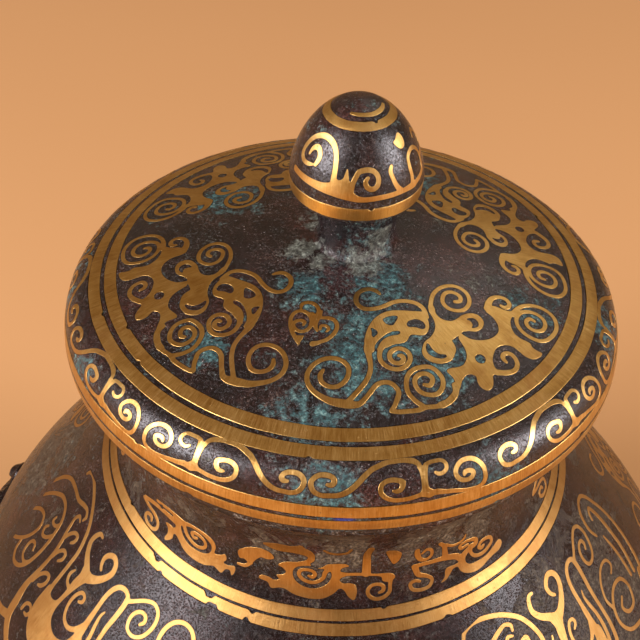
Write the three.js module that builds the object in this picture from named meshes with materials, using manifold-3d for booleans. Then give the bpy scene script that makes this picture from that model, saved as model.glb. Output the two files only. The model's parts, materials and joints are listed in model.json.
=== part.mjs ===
// Inlaid bronze lidded jar: a cast jar and a lift-off lid with a bud-shaped knob, gold strips and
// cloud scrolls set flush into the bronze, and two animal-mask lugs that each hold a swinging ring.
// Millimetres, +Z up. The origin is the middle of the foot's underside.
import * as THREE from "three";
import Module from "manifold-3d";
import { mergeVertices } from "three/addons/utils/BufferGeometryUtils.js";

const wasm = await Module();
wasm.setup();

// ---- driving dimensions (mm) ----
const LID_Z = 204; // height of the lid's outer gold strip, the datum of every lid and neck height below
const SEG = 40; // facets round the vessel
const INLAY_GAP = 0.3; // clearance round each gold strip in its groove
const INLAY_DEEP = 1.3; // depth of a groove
const RING_R = 15.5; // swinging ring, centre-line radius
const RING_WIRE = 2.3; // swinging ring, wire radius
const LUG_Z = LID_Z - 113.5; // height of the middle of the mask lugs
const LOOP_X = 104.4; // distance of each ring's plane from the jar's axis
const LOOP_DROP = 15.5; // from the middle of a mask down to the middle of its loop
const TENON_R = 4; // radius of the tenon that holds a lug in the wall
const KNOB_X = 1.54, KNOB_Y = 0.36; // the knob is set slightly off the jar's axis
const KNOB_TENON_R = 8.2; // radius of the knob's tenon through the lid

const BRONZE = new THREE.MeshStandardMaterial({ color: 0x2c2629, roughness: 0.42, metalness: 0.85 });
const GOLD = new THREE.MeshStandardMaterial({ color: 0xc98a2c, roughness: 0.34, metalness: 1.0 });
const TIN = new THREE.MeshStandardMaterial({ color: 0x77706a, roughness: 0.6, metalness: 0.6 });

const jar = new THREE.Group();
const lathe = (pts, seg = SEG) =>
  new THREE.LatheGeometry(pts.map(([r, z]) => new THREE.Vector2(r, z)), seg).rotateX(Math.PI / 2);
function add(name, geometry, material) {
  const mesh = new THREE.Mesh(geometry, material);
  mesh.name = name;
  jar.add(mesh);
  return mesh;
}
function solid(geometry) {
  const g = geometry.clone();
  g.deleteAttribute("normal");
  g.deleteAttribute("uv");
  const m = mergeVertices(g, 1e-4);
  return new wasm.Manifold(
    new wasm.Mesh({ numProp: 3, vertProperties: m.attributes.position.array, triVerts: new Uint32Array(m.index.array) }),
  );
}
function geometryOf(s) {
  const m = s.getMesh(), n = m.numProp, v = new Float32Array(m.numVert * 3);
  for (let i = 0; i < m.numVert; i++) v.set(m.vertProperties.subarray(i * n, i * n + 3), i * 3);
  return new THREE.BufferGeometry()
    .setAttribute("position", new THREE.BufferAttribute(v, 3))
    .setIndex(new THREE.BufferAttribute(m.triVerts, 1));
}

// ---- outer profiles, [radius, height] ----
// A strip is a stretch of profile between two points; its groove is cut into the profile, and the gold fills it.
const at = (p, q, t) => [p[0] + (q[0] - p[0]) * t, p[1] + (q[1] - p[1]) * t];
function strip(p, q, gap, deep) {
  const dx = q[0] - p[0], dz = q[1] - p[1], L = Math.hypot(dx, dz);
  const t = [dx / L, dz / L], n = [t[1], -t[0]]; // n points into the metal when the profile runs downwards outside
  const a = [p[0] + t[0] * gap, p[1] + t[1] * gap], b = [q[0] - t[0] * gap, q[1] - t[1] * gap];
  return { a, b, n, ring: [a, b, [b[0] + n[0] * deep, b[1] + n[1] * deep], [a[0] + n[0] * deep, a[1] + n[1] * deep]] };
}
// The outside runs from the axis at the top down to the base, and bands are marked as [p, q] stretches of it.
function grooved(outer, bands) {
  const out = [];
  for (let i = 0; i < outer.length; i++) {
    const p = outer[i], q = outer[i + 1];
    out.push(p);
    if (q && bands.some(([a, b]) => a === i)) {
      const s = strip(p, q, 0, INLAY_DEEP);
      out.push(s.ring[3], s.ring[2]);
    }
  }
  return out;
}
const goldRing = (outer, i) => {
  const s = strip(outer[i], outer[i + 1], INLAY_GAP, INLAY_DEEP - INLAY_GAP);
  return lathe([...s.ring, s.ring[0]]);
};

// ---- lid ----
const L = (r, z) => [r, LID_Z + z];
const lidOuter = [
  L(8.6, 9.55), L(15, 9), L(20, 8.4), L(25, 7.6), L(30, 6.65), L(35, 5.5), L(40, 4.15), L(44, 3), L(47.17, 2.05), // 8-9 inner strip
  L(49.63, 1.18), L(50.59, 0.87), // 10-11 outer strip
  L(53, 0), L(54.9, -1), L(56.5, -2.5), L(57.6, -4.3), L(58.3, -6.28), // 15-16 upper rim strip
  L(58.75, -8.7), L(58.8, -9.5), // 17-18 lower rim strip
  L(58.55, -12.1), L(58.1, -13), L(57.2, -13.6), L(54.2, -13.8),
];
const lidBands = [[8], [10], [15], [17]];
const lidInner = [
  L(48, -13.8), L(48, -22.5), L(45.2, -22.5), L(45.2, -12.5), L(51, -9.5), L(53.5, -7), L(52, -4), L(49.5, -2.4), L(47, -1.3), L(44, -0.2),
  L(40, 1), L(35, 2.4), L(30, 3.5), L(25, 4.5), L(20, 5.3), L(14, 6.4), L(8.6, 6.4),
];
const lidProfile = [L(0, 9.8), ...grooved(lidOuter, lidBands), ...lidInner, L(0, 6.4)];
const knobHole = new THREE.CylinderGeometry(KNOB_TENON_R + 0.4, KNOB_TENON_R + 0.4, 12, 32).rotateX(Math.PI / 2).translate(KNOB_X, KNOB_Y, LID_Z + 8);
add("lid_shell", geometryOf(solid(flip(lathe([...lidProfile].reverse()))).subtract(solid(knobHole))), BRONZE);
add("lid_top_inner_band", flip(goldRing(lidOuter, 8)), GOLD);
add("lid_top_outer_band", flip(goldRing(lidOuter, 10)), GOLD);
add("lid_rim_upper_band", flip(goldRing(lidOuter, 15)), GOLD);
add("lid_rim_lower_band", flip(goldRing(lidOuter, 17)), GOLD);

// A lathe whose outline runs the other way round is turned to face out.
function flip(g) {
  const s = solid(g);
  if (s.volume() > 0) return g;
  const idx = g.index.array;
  for (let i = 0; i < idx.length; i += 3) [idx[i + 1], idx[i + 2]] = [idx[i + 2], idx[i + 1]];
  return g;
}

// ---- knob: bud, neck and a tenon that goes through the lid ----
const knobOuter = [
  L(0, 41.55), L(4.43, 40.46), L(5.6, 39.65), // 2-3 crown ring
  L(7.05, 38.55), L(8.4, 37.2), L(9.63, 35.57), L(10.63, 33.94), L(11.45, 32.31), L(12.12, 30.68), L(12.65, 29.05), L(13.04, 27.42), L(13.25, 25.5), // 11-12 base band
  L(13.02, 22.7), L(12.4, 22), L(9.6, 21.7), L(9.1, 21), L(9.1, 11.4), L(9.5, 10.5), L(10.4, 9.9), L(KNOB_TENON_R, 9.9), L(KNOB_TENON_R, 6.4), L(0, 6.4),
];
const knobProfile = grooved(knobOuter, [[2], [11]]);
const onKnob = (g) => g.translate(KNOB_X, KNOB_Y, 0);
add("knob", onKnob(flip(lathe([...knobProfile].reverse(), 32))), BRONZE);
add("knob_crown_ring", onKnob(flip(lathe([...strip(knobOuter[2], knobOuter[3], 0.3, 1).ring, strip(knobOuter[2], knobOuter[3], 0.3, 1).ring[0]], 32))), GOLD);
add("knob_base_band", onKnob(flip(lathe([...strip(knobOuter[11], knobOuter[12], 0.3, 1).ring, strip(knobOuter[11], knobOuter[12], 0.3, 1).ring[0]], 32))), GOLD);
add("knob_tenon_washer", onKnob(flip(lathe([L(0, 6.1), L(11.5, 6.1), L(12, 5.5), L(11, 4.3), L(0, 3.9)].reverse(), 32))), TIN);

// ---- jar body ----
const bodyOuter = [
  L(48.6, -14.1), L(55.9, -14.1), L(56.5, -14.8), L(56.5, -16.4), L(55.5, -18), L(52.5, -22), L(49.8, -26.5), L(48.3, -31), L(47.8, -35), L(48.2, -39),
  L(49.3, -43), L(51.44, -47), // 11-12 neck base upper strip
  L(53.14, -48.7), L(53.5, -49.05), // 13-14 neck base lower strip
  L(55.2, -50.8), L(60, -56), L(66, -62.6), L(74, -71.6), L(82, -81), L(87.5, -88.5), L(91.2, -95), L(94, -103), L(95.3, -111), L(95.6, -118),
  L(95.1, -126), L(94.1, -134), // 25-26 belly upper strip
  L(93.1, -138), L(92.8, -139), // 27-28 belly lower strip
  L(91.4, -142.8), L(88, -150.5), L(81.5, -161), L(73.5, -170), L(65.5, -177), L(60.6, -180.9), // 33-34 foot strip
  L(58.2, -183.4), L(57.5, -185.5), L(58, -188.5), L(60, -194), L(62.5, -199.5), L(62.5, -204),
];
const bodyBands = [[11], [13], [25], [27], [33]];
const footInner = [L(59, -204), L(57.5, -198), L(54, -193), L(20, -190.8), L(0, -190.8)];
const cavity = [
  L(0, -186.5), L(40, -184), L(56, -179.2), L(62.9, -173.9), L(70.7, -167.2), L(78.3, -158.6), L(84.5, -148.6), L(88.6, -137.6), L(90.6, -129.7), L(91.1, -125.6),
  L(91.6, -118), L(91.3, -111.4), L(90.1, -104), L(87.5, -96.6), L(84.2, -90.7), L(78.9, -83.5), L(71, -74.2), L(63, -65.3), L(57, -58.7),
  L(50.2, -51.4), L(47.2, -48), L(45.2, -44.2), L(44.2, -39.7), L(43.8, -35), L(44.4, -30.4), L(46, -26), L(48.6, -23.5),
];
const bodyProfile = [...cavity, ...grooved(bodyOuter, bodyBands), ...footInner];
// a round pin along X, pointing outwards on the +X side
const pin = (r, x0, x1) => new THREE.CylinderGeometry(r, r, x1 - x0, 24).rotateZ(Math.PI / 2).translate((x0 + x1) / 2, 0, LUG_Z);
let vessel = solid(flip(lathe(bodyProfile)));
vessel = vessel.subtract(solid(pin(TENON_R + 0.35, 84, 100)));
vessel = vessel.subtract(solid(pin(TENON_R + 0.35, 84, 100).rotateZ(Math.PI)));
add("jar_body", geometryOf(vessel), BRONZE);
add("neck_base_upper_band", flip(goldRing(bodyOuter, 11)), GOLD);
add("neck_base_lower_band", flip(goldRing(bodyOuter, 13)), GOLD);
add("belly_upper_band", flip(goldRing(bodyOuter, 25)), GOLD);
add("belly_lower_band", flip(goldRing(bodyOuter, 27)), GOLD);
add("foot_band", flip(goldRing(bodyOuter, 33)), GOLD);

// ---- mask lugs and swinging rings, left and right ----
for (const [side, s] of [["left", -1], ["right", 1]]) {
  const face = new THREE.Shape();
  face.moveTo(0, -11); face.lineTo(4.2, -9); face.lineTo(8, -3); face.lineTo(12, 3); face.lineTo(13.5, 9); face.lineTo(9.5, 10.6);
  face.lineTo(6, 8.6); face.lineTo(0, 10); face.lineTo(-6, 8.6); face.lineTo(-9.5, 10.6); face.lineTo(-13.5, 9); face.lineTo(-12, 3);
  face.lineTo(-8, -3); face.lineTo(-4.2, -9); face.closePath();
  const slab = new THREE.ExtrudeGeometry(face, { depth: 13, bevelEnabled: true, bevelThickness: 1.6, bevelSize: 1.4, bevelSegments: 2, curveSegments: 8 });
  // the slab's face looks outwards along X
  slab.rotateX(Math.PI / 2).rotateZ(Math.PI / 2);
  slab.translate(88, 0, LUG_Z);
  // nose loop: a short hook below the mask that carries the ring
  const loop = new THREE.TorusGeometry(5.2, 2.1, 8, 20).rotateX(Math.PI / 2);
  loop.translate(LOOP_X, 0, LUG_Z - LOOP_DROP);
  let lug = solid(slab).add(solid(loop));
  // the back of the lug follows the belly with a thin solder gap
  const wall = bodyOuter.map(([r, z]) => [r + 0.35, z]);
  const core = solid(flip(lathe([[0, wall.at(-1)[1]], ...wall.slice(2).reverse(), [0, wall[2][1]]])));
  lug = lug.subtract(core);
  lug = lug.decompose().sort((a, b) => b.volume() - a.volume())[0];
  // a tenon goes through the wall and ends in a solder washer inside the jar
  lug = lug.add(solid(pin(TENON_R, 90.2, 99)));
  const g = geometryOf(lug);
  if (s < 0) g.rotateZ(Math.PI);
  add(side + "_mask_lug", g, BRONZE);
  const washer = pin(6.5, 86.9, 89.9);
  if (s < 0) washer.rotateZ(Math.PI);
  add(side + "_lug_washer", washer, TIN);
  const ring = new THREE.TorusGeometry(RING_R, RING_WIRE, 8, 32).rotateY(Math.PI / 2);
  ring.translate(LOOP_X, 0, LUG_Z - LOOP_DROP - RING_R - 0.4);
  if (s < 0) ring.rotateZ(Math.PI);
  add(side + "_ring", ring, BRONZE);
}

export default jar;
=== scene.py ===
import bpy, json, math
import numpy as np
from mathutils import Vector, Matrix
from mathutils.geometry import delaunay_2d_cdt

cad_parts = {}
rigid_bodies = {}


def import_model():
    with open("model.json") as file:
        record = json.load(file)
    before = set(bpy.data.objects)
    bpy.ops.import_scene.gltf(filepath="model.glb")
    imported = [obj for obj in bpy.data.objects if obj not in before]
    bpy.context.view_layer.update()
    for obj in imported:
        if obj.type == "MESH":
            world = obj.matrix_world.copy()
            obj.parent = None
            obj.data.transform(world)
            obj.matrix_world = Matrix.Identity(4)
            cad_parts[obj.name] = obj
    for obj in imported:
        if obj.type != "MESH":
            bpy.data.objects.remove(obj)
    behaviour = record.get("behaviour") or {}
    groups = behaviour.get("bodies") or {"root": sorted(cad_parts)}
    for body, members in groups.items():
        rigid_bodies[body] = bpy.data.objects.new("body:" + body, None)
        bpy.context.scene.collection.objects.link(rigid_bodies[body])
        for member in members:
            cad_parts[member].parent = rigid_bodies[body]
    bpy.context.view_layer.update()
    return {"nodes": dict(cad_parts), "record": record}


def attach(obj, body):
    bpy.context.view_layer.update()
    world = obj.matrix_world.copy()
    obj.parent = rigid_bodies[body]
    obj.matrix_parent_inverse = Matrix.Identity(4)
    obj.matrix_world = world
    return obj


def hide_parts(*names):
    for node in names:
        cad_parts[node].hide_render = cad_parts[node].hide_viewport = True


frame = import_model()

LID = 204.0            # height in mm of the lid's outer gold strip; every profile height below is measured from it
TURN = 13.3            # the ornament is laid out from the photograph's side, this many degrees away from the ring axis
KNOB_AT = (1.54, 0.36) # the knob stands slightly off the axis


# ---------------------------------------------------------------- camera
def camera():
    F, E, ROLL, OX, OY, D = 1108.0, math.radians(41.03), math.radians(2.10), 343.1, 271.7, 233.8
    cr, sr = math.cos(ROLL), math.sin(ROLL)

    def turn(v):
        return Vector((cr * v[0] - sr * v[1], sr * v[0] + cr * v[1], v[2]))

    X, Z, Y = turn((1, 0, 0)), turn((0, -math.cos(E), -math.sin(E))), turn((0, -math.sin(E), math.cos(E)))
    O = Vector(((OX - 320) / F * D, (OY - 320) / F * D, D))
    M = Matrix((X, Y, Z)).transposed()
    pos = -(M.transposed() @ O)
    right, down, fwd = M[0], M[1], M[2]
    R = Matrix((right, -down, -fwd)).transposed()
    cam = bpy.data.cameras.new("camera"); cam.sensor_width = 36.0; cam.lens = F * 36 / 640
    cam.clip_start = 0.01; cam.clip_end = 20
    o = bpy.data.objects.new("camera", cam); bpy.context.scene.collection.objects.link(o)
    o.matrix_world = Matrix.Rotation(math.radians(TURN), 4, "Z") @ Matrix.Translation((pos + Vector((0, 0, LID))) * 0.001) @ R.to_4x4()
    bpy.context.scene.camera = o


camera()


# ---------------------------------------------------------------- turned surfaces
def pchip(x, y, q):
    """Monotone cubic interpolation of y(x) at q."""
    h = np.diff(x); d = np.diff(y) / h
    m = np.zeros_like(y)
    for k in range(1, len(x) - 1):
        if d[k - 1] * d[k] > 0:
            w1, w2 = 2 * h[k] + h[k - 1], h[k] + 2 * h[k - 1]
            m[k] = (w1 + w2) / (w1 / d[k - 1] + w2 / d[k])
    m[0], m[-1] = d[0], d[-1]
    i = np.clip(np.searchsorted(x, q, side="right") - 1, 0, len(x) - 2)
    t = (q - x[i]) / h[i]
    t2, t3 = t * t, t * t * t
    return ((2 * t3 - 3 * t2 + 1) * y[i] + (t3 - 2 * t2 + t) * h[i] * m[i] + (-2 * t3 + 3 * t2) * y[i + 1] + (t3 - t2) * h[i] * m[i + 1])


class Turned:
    """A turned surface. s is the length along the polyline of profile points, side is +1 when it runs down the outside."""

    def __init__(self, pts, side=1, centre=(0, 0)):
        P = np.array(pts, float)
        self.L = np.concatenate([[0], np.cumsum(np.hypot(*np.diff(P, axis=0).T))])
        self.P, self.side, self.c = P, side, centre

    def rz(self, s):
        s = np.asarray(s, float)
        return pchip(self.L, self.P[:, 0], s), pchip(self.L, self.P[:, 1], s)

    def at(self, th, s, h):
        """Points in mm at angle th (degrees, object frame), length s, height h above the surface."""
        s = np.clip(s, self.L[0], self.L[-1])
        r, z = self.rz(s)
        e = 0.05
        a, b = np.clip(s - e, self.L[0], self.L[-1]), np.clip(s + e, self.L[0], self.L[-1])
        ra, za = self.rz(a); rb, zb = self.rz(b)
        dr, dz = rb - ra, zb - za
        n = np.hypot(dr, dz) + 1e-12
        nr, nz = -dz / n * self.side, dr / n * self.side
        R, Z = r + nr * h, z + nz * h
        t = np.radians(th)
        return np.stack([R * np.cos(t) + self.c[0], R * np.sin(t) + self.c[1], Z + LID], -1)


LID_TOP = Turned([(0, 9.8), (8.6, 9.55), (15, 9), (20, 8.4), (25, 7.6), (30, 6.65), (35, 5.5), (40, 4.15), (44, 3), (47.17, 2.05), (49.63, 1.18), (50.59, 0.87), (53, 0)])
RIM = Turned([(53, 0), (54.9, -1.0), (56.5, -2.5), (57.6, -4.3), (58.3, -6.28), (58.75, -8.7), (58.8, -9.5), (58.55, -12.1)])
NECK = Turned([(56.5, -15), (55.5, -18), (52.5, -22), (49.8, -26.5), (48.3, -31), (47.8, -35), (48.2, -39), (49.3, -43), (51.44, -47.0), (53.6, -49.0), (55.2, -50.8)])
SHOULDER = Turned([(55.2, -50.8), (60, -56.0), (66, -62.6), (74, -71.6), (82, -81.0), (87.5, -88.5), (91.2, -95), (94, -103), (95.3, -111), (95.6, -118), (95.1, -126), (94.1, -134)])
LOWER = Turned([(92.8, -139), (91.4, -142.8), (88, -150.5), (81.5, -161), (73.5, -170), (65.5, -177), (60.6, -180.9)])
KNOB = Turned([(13.02, 22.7), (13.25, 25.5), (13.04, 27.42), (12.65, 29.05), (12.12, 30.68), (11.45, 32.31), (10.63, 33.94), (9.63, 35.57), (8.4, 37.2), (6.8, 38.83), (4.43, 40.46), (0, 41.55)], -1, KNOB_AT)
LID_R = LID_TOP.P[:, 0]; LID_S = LID_TOP.L


def plan(x, y, h):
    """Lid top, from plan coordinates in the object frame."""
    r = np.hypot(x, y)
    fine = np.linspace(0, LID_TOP.L[-1], 900)
    s = np.interp(r, LID_TOP.rz(fine)[0], fine)
    return LID_TOP.at(np.degrees(np.arctan2(y, x)), s, h)


def wrap(surf, scale, th0, sign=1):
    """Ornament that runs round a turned surface: x mm round it (scale mm to a degree), y along s."""
    return lambda x, y, h: surf.at(th0 + sign * x / scale + TURN, y, h)


# ---------------------------------------------------------------- ornament: strokes and patches to flush solids
def spline(pts, closed=False, step=0.22):
    """Centripetal Catmull-Rom through points of any width."""
    P = np.array(pts, float)
    if closed:
        Q = np.vstack([P[-1], P, P[0], P[1]])
    else:
        Q = np.vstack([2 * P[0] - P[1], P, 2 * P[-1] - P[-2]])
    out = []
    for i in range(1, len(Q) - 2):
        p0, p1, p2, p3 = Q[i - 1], Q[i], Q[i + 1], Q[i + 2]
        d = [max(np.hypot(*(b - a)[:2]) ** 0.5, 1e-4) for a, b in ((p0, p1), (p1, p2), (p2, p3))]
        m1 = (p1 - p0) / d[0] - (p2 - p0) / (d[0] + d[1]) + (p2 - p1) / d[1]
        m2 = (p2 - p1) / d[1] - (p3 - p1) / (d[1] + d[2]) + (p3 - p2) / d[2]
        m1, m2 = m1 * d[1], m2 * d[1]
        n = max(1, int(math.ceil(d[1] ** 2 / step)))
        for k in range(n):
            t = k / n
            t2, t3 = t * t, t ** 3
            out.append((2 * t3 - 3 * t2 + 1) * p1 + (t3 - 2 * t2 + t) * m1 + (-2 * t3 + 3 * t2) * p2 + (t3 - t2) * m2)
    if not closed:
        out.append(Q[-2])
    return np.array(out)


class Sheet:
    """A signed field on a fine grid: negative inside the inlay."""

    def __init__(self, x0, y0, x1, y1, h=0.1):
        self.h, self.x0, self.y0 = h, x0, y0
        self.X = np.arange(x0, x1 + h / 2, h); self.Y = np.arange(y0, y1 + h / 2, h)
        self.F = np.full((len(self.Y), len(self.X)), 4.0)

    def _win(self, xa, ya, xb, yb):
        i0 = max(0, int((xa - self.x0) / self.h) - 1); i1 = min(len(self.X), int((xb - self.x0) / self.h) + 3)
        j0 = max(0, int((ya - self.y0) / self.h) - 1); j1 = min(len(self.Y), int((yb - self.y0) / self.h) + 3)
        return slice(j0, j1), slice(i0, i1)

    def _segs(self, P, R, acc, m=1.0):
        for a, b, ra, rb in zip(P, P[1:], R, R[1:]):
            w = max(ra, rb) + m
            sj, si = self._win(min(a[0], b[0]) - w, min(a[1], b[1]) - w, max(a[0], b[0]) + w, max(a[1], b[1]) + w)
            x = self.X[si][None, :] - a[0]; y = self.Y[sj][:, None] - a[1]
            if x.size == 0 or y.size == 0:
                continue
            d = b - a; L2 = max(d @ d, 1e-9)
            t = np.clip((x * d[0] + y * d[1]) / L2, 0, 1)
            D = np.hypot(x - t * d[0], y - t * d[1]) - (ra + t * (rb - ra))
            acc[sj, si] = np.minimum(acc[sj, si], D)

    def stroke(self, pts, w=0.9, tip=None):
        """Points (x, y) or (x, y, width); a width holds until the next one given."""
        rows, cur = [], w
        for p in pts:
            if len(p) > 2:
                cur = p[2]
            rows.append((p[0], p[1], cur))
        P = spline(rows)
        self._segs(P[:, :2], np.maximum(P[:, 2], 0.15) / 2, self.F)

    def _patch(self, pts, smooth):
        P = spline(pts, True, 0.3) if smooth else np.array(pts, float)
        Pc = np.vstack([P, P[:1]])
        acc = np.full_like(self.F, 4.0)
        self._segs(Pc[:, :2], np.zeros(len(Pc)), acc)
        sj, si = self._win(P[:, 0].min(), P[:, 1].min(), P[:, 0].max(), P[:, 1].max())
        x = self.X[si][None, :]; y = self.Y[sj][:, None]
        ins = np.zeros((y.shape[0], x.shape[1]), bool)
        for a, b in zip(Pc, Pc[1:]):
            if a[1] == b[1]:
                continue
            c = ((a[1] > y) != (b[1] > y)) & (x < (b[0] - a[0]) * (y - a[1]) / (b[1] - a[1]) + a[0])
            ins ^= c
        sub = acc[sj, si]
        acc[sj, si] = np.where(ins, -np.abs(sub), sub)
        return acc

    def patch(self, pts, smooth=True):
        self.F = np.minimum(self.F, self._patch(pts, smooth))

    def hole(self, pts, smooth=True):
        self.F = np.maximum(self.F, -self._patch(pts, smooth))

    def dot(self, x, y, r, cut=False):
        D = np.hypot(self.X[None, :] - x, self.Y[:, None] - y) - r
        self.F = np.maximum(self.F, -D) if cut else np.minimum(self.F, D)

    def cut_stroke(self, pts, w=0.6):
        rows, cur = [], w
        for p in pts:
            if len(p) > 2:
                cur = p[2]
            rows.append((p[0], p[1], cur))
        P = spline(rows)
        acc = np.full_like(self.F, 4.0)
        self._segs(P[:, :2], P[:, 2] / 2, acc)
        self.F = np.maximum(self.F, -acc)

    def soften(self, k=1.0):
        """Small gaussian blur, which rounds inner corners as a chisel and a burnisher leave them."""
        g = np.exp(-0.5 * (np.arange(-3, 4) / k) ** 2); g /= g.sum()
        F = np.pad(np.clip(self.F, -1.5, 1.5), 3, mode="edge")
        F = sum(w * F[:, i:i + self.F.shape[1]] for i, w in enumerate(g))
        self.F = sum(w * F[i:i + self.F.shape[0], :] for i, w in enumerate(g))

    def loops(self, level=0.0, step=0.27, least=0.25):
        """Closed outlines, the inlay on their left."""
        F = np.pad(self.F, 1, constant_values=4.0) - level
        ny, nx = F.shape
        V = (F < 0).astype(int)
        code = V[:-1, :-1] + 2 * V[:-1, 1:] + 4 * V[1:, 1:] + 8 * V[1:, :-1]
        jj, ii = np.nonzero((code > 0) & (code < 15))
        c = code[jj, ii]
        # edge ids: bottom (j,i) horizontal, left (j,i) vertical
        H = lambda j, i: (j * nx + i) * 2
        W = lambda j, i: (j * nx + i) * 2 + 1
        B, T, Lf, Rt = H(jj, ii), H(jj + 1, ii), W(jj, ii), W(jj, ii + 1)
        E = {"B": B, "T": T, "L": Lf, "R": Rt}
        table = {1: ["BL"], 2: ["RB"], 3: ["RL"], 4: ["TR"], 5: ["BR", "TL"], 6: ["TB"], 7: ["TL"], 8: ["LT"], 9: ["BT"], 10: ["LB", "RT"], 11: ["RT"], 12: ["LR"], 13: ["BR"], 14: ["LB"]}
        nxt = {}
        for k, segs in table.items():
            m = c == k
            if not m.any():
                continue
            for sg in segs:
                for a, b in zip(E[sg[0]][m].tolist(), E[sg[1]][m].tolist()):
                    nxt[a] = b

        def point(e):
            v, k = e & 1, e >> 1
            j, i = divmod(k, nx)
            f0 = F[j, i]
            f1 = F[j + 1, i] if v else F[j, i + 1]
            t = f0 / (f0 - f1)
            x, y = (i, j + t) if v else (i + t, j)
            return ((x - 1) * self.h + self.x0, (y - 1) * self.h + self.y0)

        out, seen = [], set()
        for e0 in list(nxt):
            if e0 in seen:
                continue
            loop, e = [], e0
            while e not in seen and e in nxt:
                seen.add(e); loop.append(point(e)); e = nxt[e]
            P = np.array(loop)
            if len(P) < 8:
                continue
            x, y = P[:, 0], P[:, 1]
            A = 0.5 * np.sum(x * np.roll(y, -1) - y * np.roll(x, -1))
            if abs(A) < (least if A > 0 else 0.04):
                continue
            d = np.hypot(*np.diff(np.vstack([P, P[:1]]), axis=0).T)
            cl = np.concatenate([[0], np.cumsum(d)])
            n = max(7, int(round(cl[-1] / step)))
            q = np.linspace(0, cl[-1], n, endpoint=False)
            Pc = np.vstack([P, P[:1]])
            out.append(np.stack([np.interp(q, cl, Pc[:, 0]), np.interp(q, cl, Pc[:, 1])], 1))
        return out

    def value(self, x, y):
        i = np.clip((x - self.x0) / self.h, 0, len(self.X) - 1.001); j = np.clip((y - self.y0) / self.h, 0, len(self.Y) - 1.001)
        i0, j0 = i.astype(int), j.astype(int); u, v = i - i0, j - j0
        F = self.F
        return (F[j0, i0] * (1 - u) * (1 - v) + F[j0, i0 + 1] * u * (1 - v) + F[j0 + 1, i0] * (1 - u) * v + F[j0 + 1, i0 + 1] * u * v)

    def cut(self, inset=0.035, grid=1.4, step=0.27, least=0.25, level=0.0):
        """Outline rings, their inset rings and the triangles between them, in the plane."""
        if level == 0.0:
            self.seam = self.cut(0.02, grid, step * 1.25, least, 0.13)
        rings = self.loops(level, step, least)
        if not rings:
            return None
        gx, gy = np.meshgrid(np.arange(self.x0, self.X[-1], grid), np.arange(self.y0, self.Y[-1], grid * 0.87))
        gx[1::2] += grid / 2
        gx, gy = gx.ravel(), gy.ravel()
        keep = self.value(gx, gy) < -0.35
        inner = np.stack([gx[keep], gy[keep]], 1)
        outer, ins, edges, n = [], [], [], 0
        for R in rings:
            t = np.roll(R, -1, 0) - np.roll(R, 1, 0)
            t /= np.hypot(*t.T)[:, None] + 1e-9
            nin = np.stack([-t[:, 1], t[:, 0]], 1)
            k = len(R)
            outer.append(R); ins.append(R + nin * inset)
            edges += [(n + i, n + (i + 1) % k) for i in range(k)]
            n += k
        outer, ins = np.vstack(outer), np.vstack(ins)
        flat = np.vstack([ins, inner]) if len(inner) else ins
        res = delaunay_2d_cdt([Vector(p) for p in flat.tolist()], edges, [], 2, 1e-5)
        good = len(res[0]) == len(flat) and all(len(o) == 1 for o in res[3])
        if not good:
            flat = np.vstack([outer, inner]) if len(inner) else outer
            ins = outer.copy()
            res = delaunay_2d_cdt([Vector(p) for p in flat.tolist()], edges, [], 2, 1e-5)
            good = len(res[0]) == len(flat) and all(len(o) == 1 for o in res[3])
        # keep the triangles that lie between an outline and its holes
        V2 = np.array([(v.x, v.y) for v in res[0]])
        T = np.array([f for f in res[2] if len(f) == 3])
        cx, cy = V2[T].mean(1).T
        a = np.vstack(rings); b = np.vstack([np.roll(R, -1, 0) for R in rings])
        odd = np.zeros(len(T), bool)
        for k in range(0, len(T), 2000):
            x, y = cx[k:k + 2000, None], cy[k:k + 2000, None]
            up = (a[:, 1] > y) != (b[:, 1] > y)
            xs = a[:, 0] + (b[:, 0] - a[:, 0]) * (y - a[:, 1]) / np.where(b[:, 1] == a[:, 1], 1e9, b[:, 1] - a[:, 1])
            odd[k:k + 2000] = (np.sum(up & (x < xs), 1) % 2).astype(bool)
        res = (res[0], res[1], [tuple(t) for t in T[odd].tolist()], res[3])
        return {"rings": [len(r) for r in rings], "outer": outer, "ins": ins, "inner": inner, "res": res, "good": good, "seam": self.seam if level == 0.0 else None}


def seams(parts, name, rise=0.013):
    """The dark hairline left round each inlay: slightly wider plates that barely show."""
    return build([(C["seam"], place, mirrored) for C, place, mirrored in parts], name, rise, 0.12)


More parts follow.
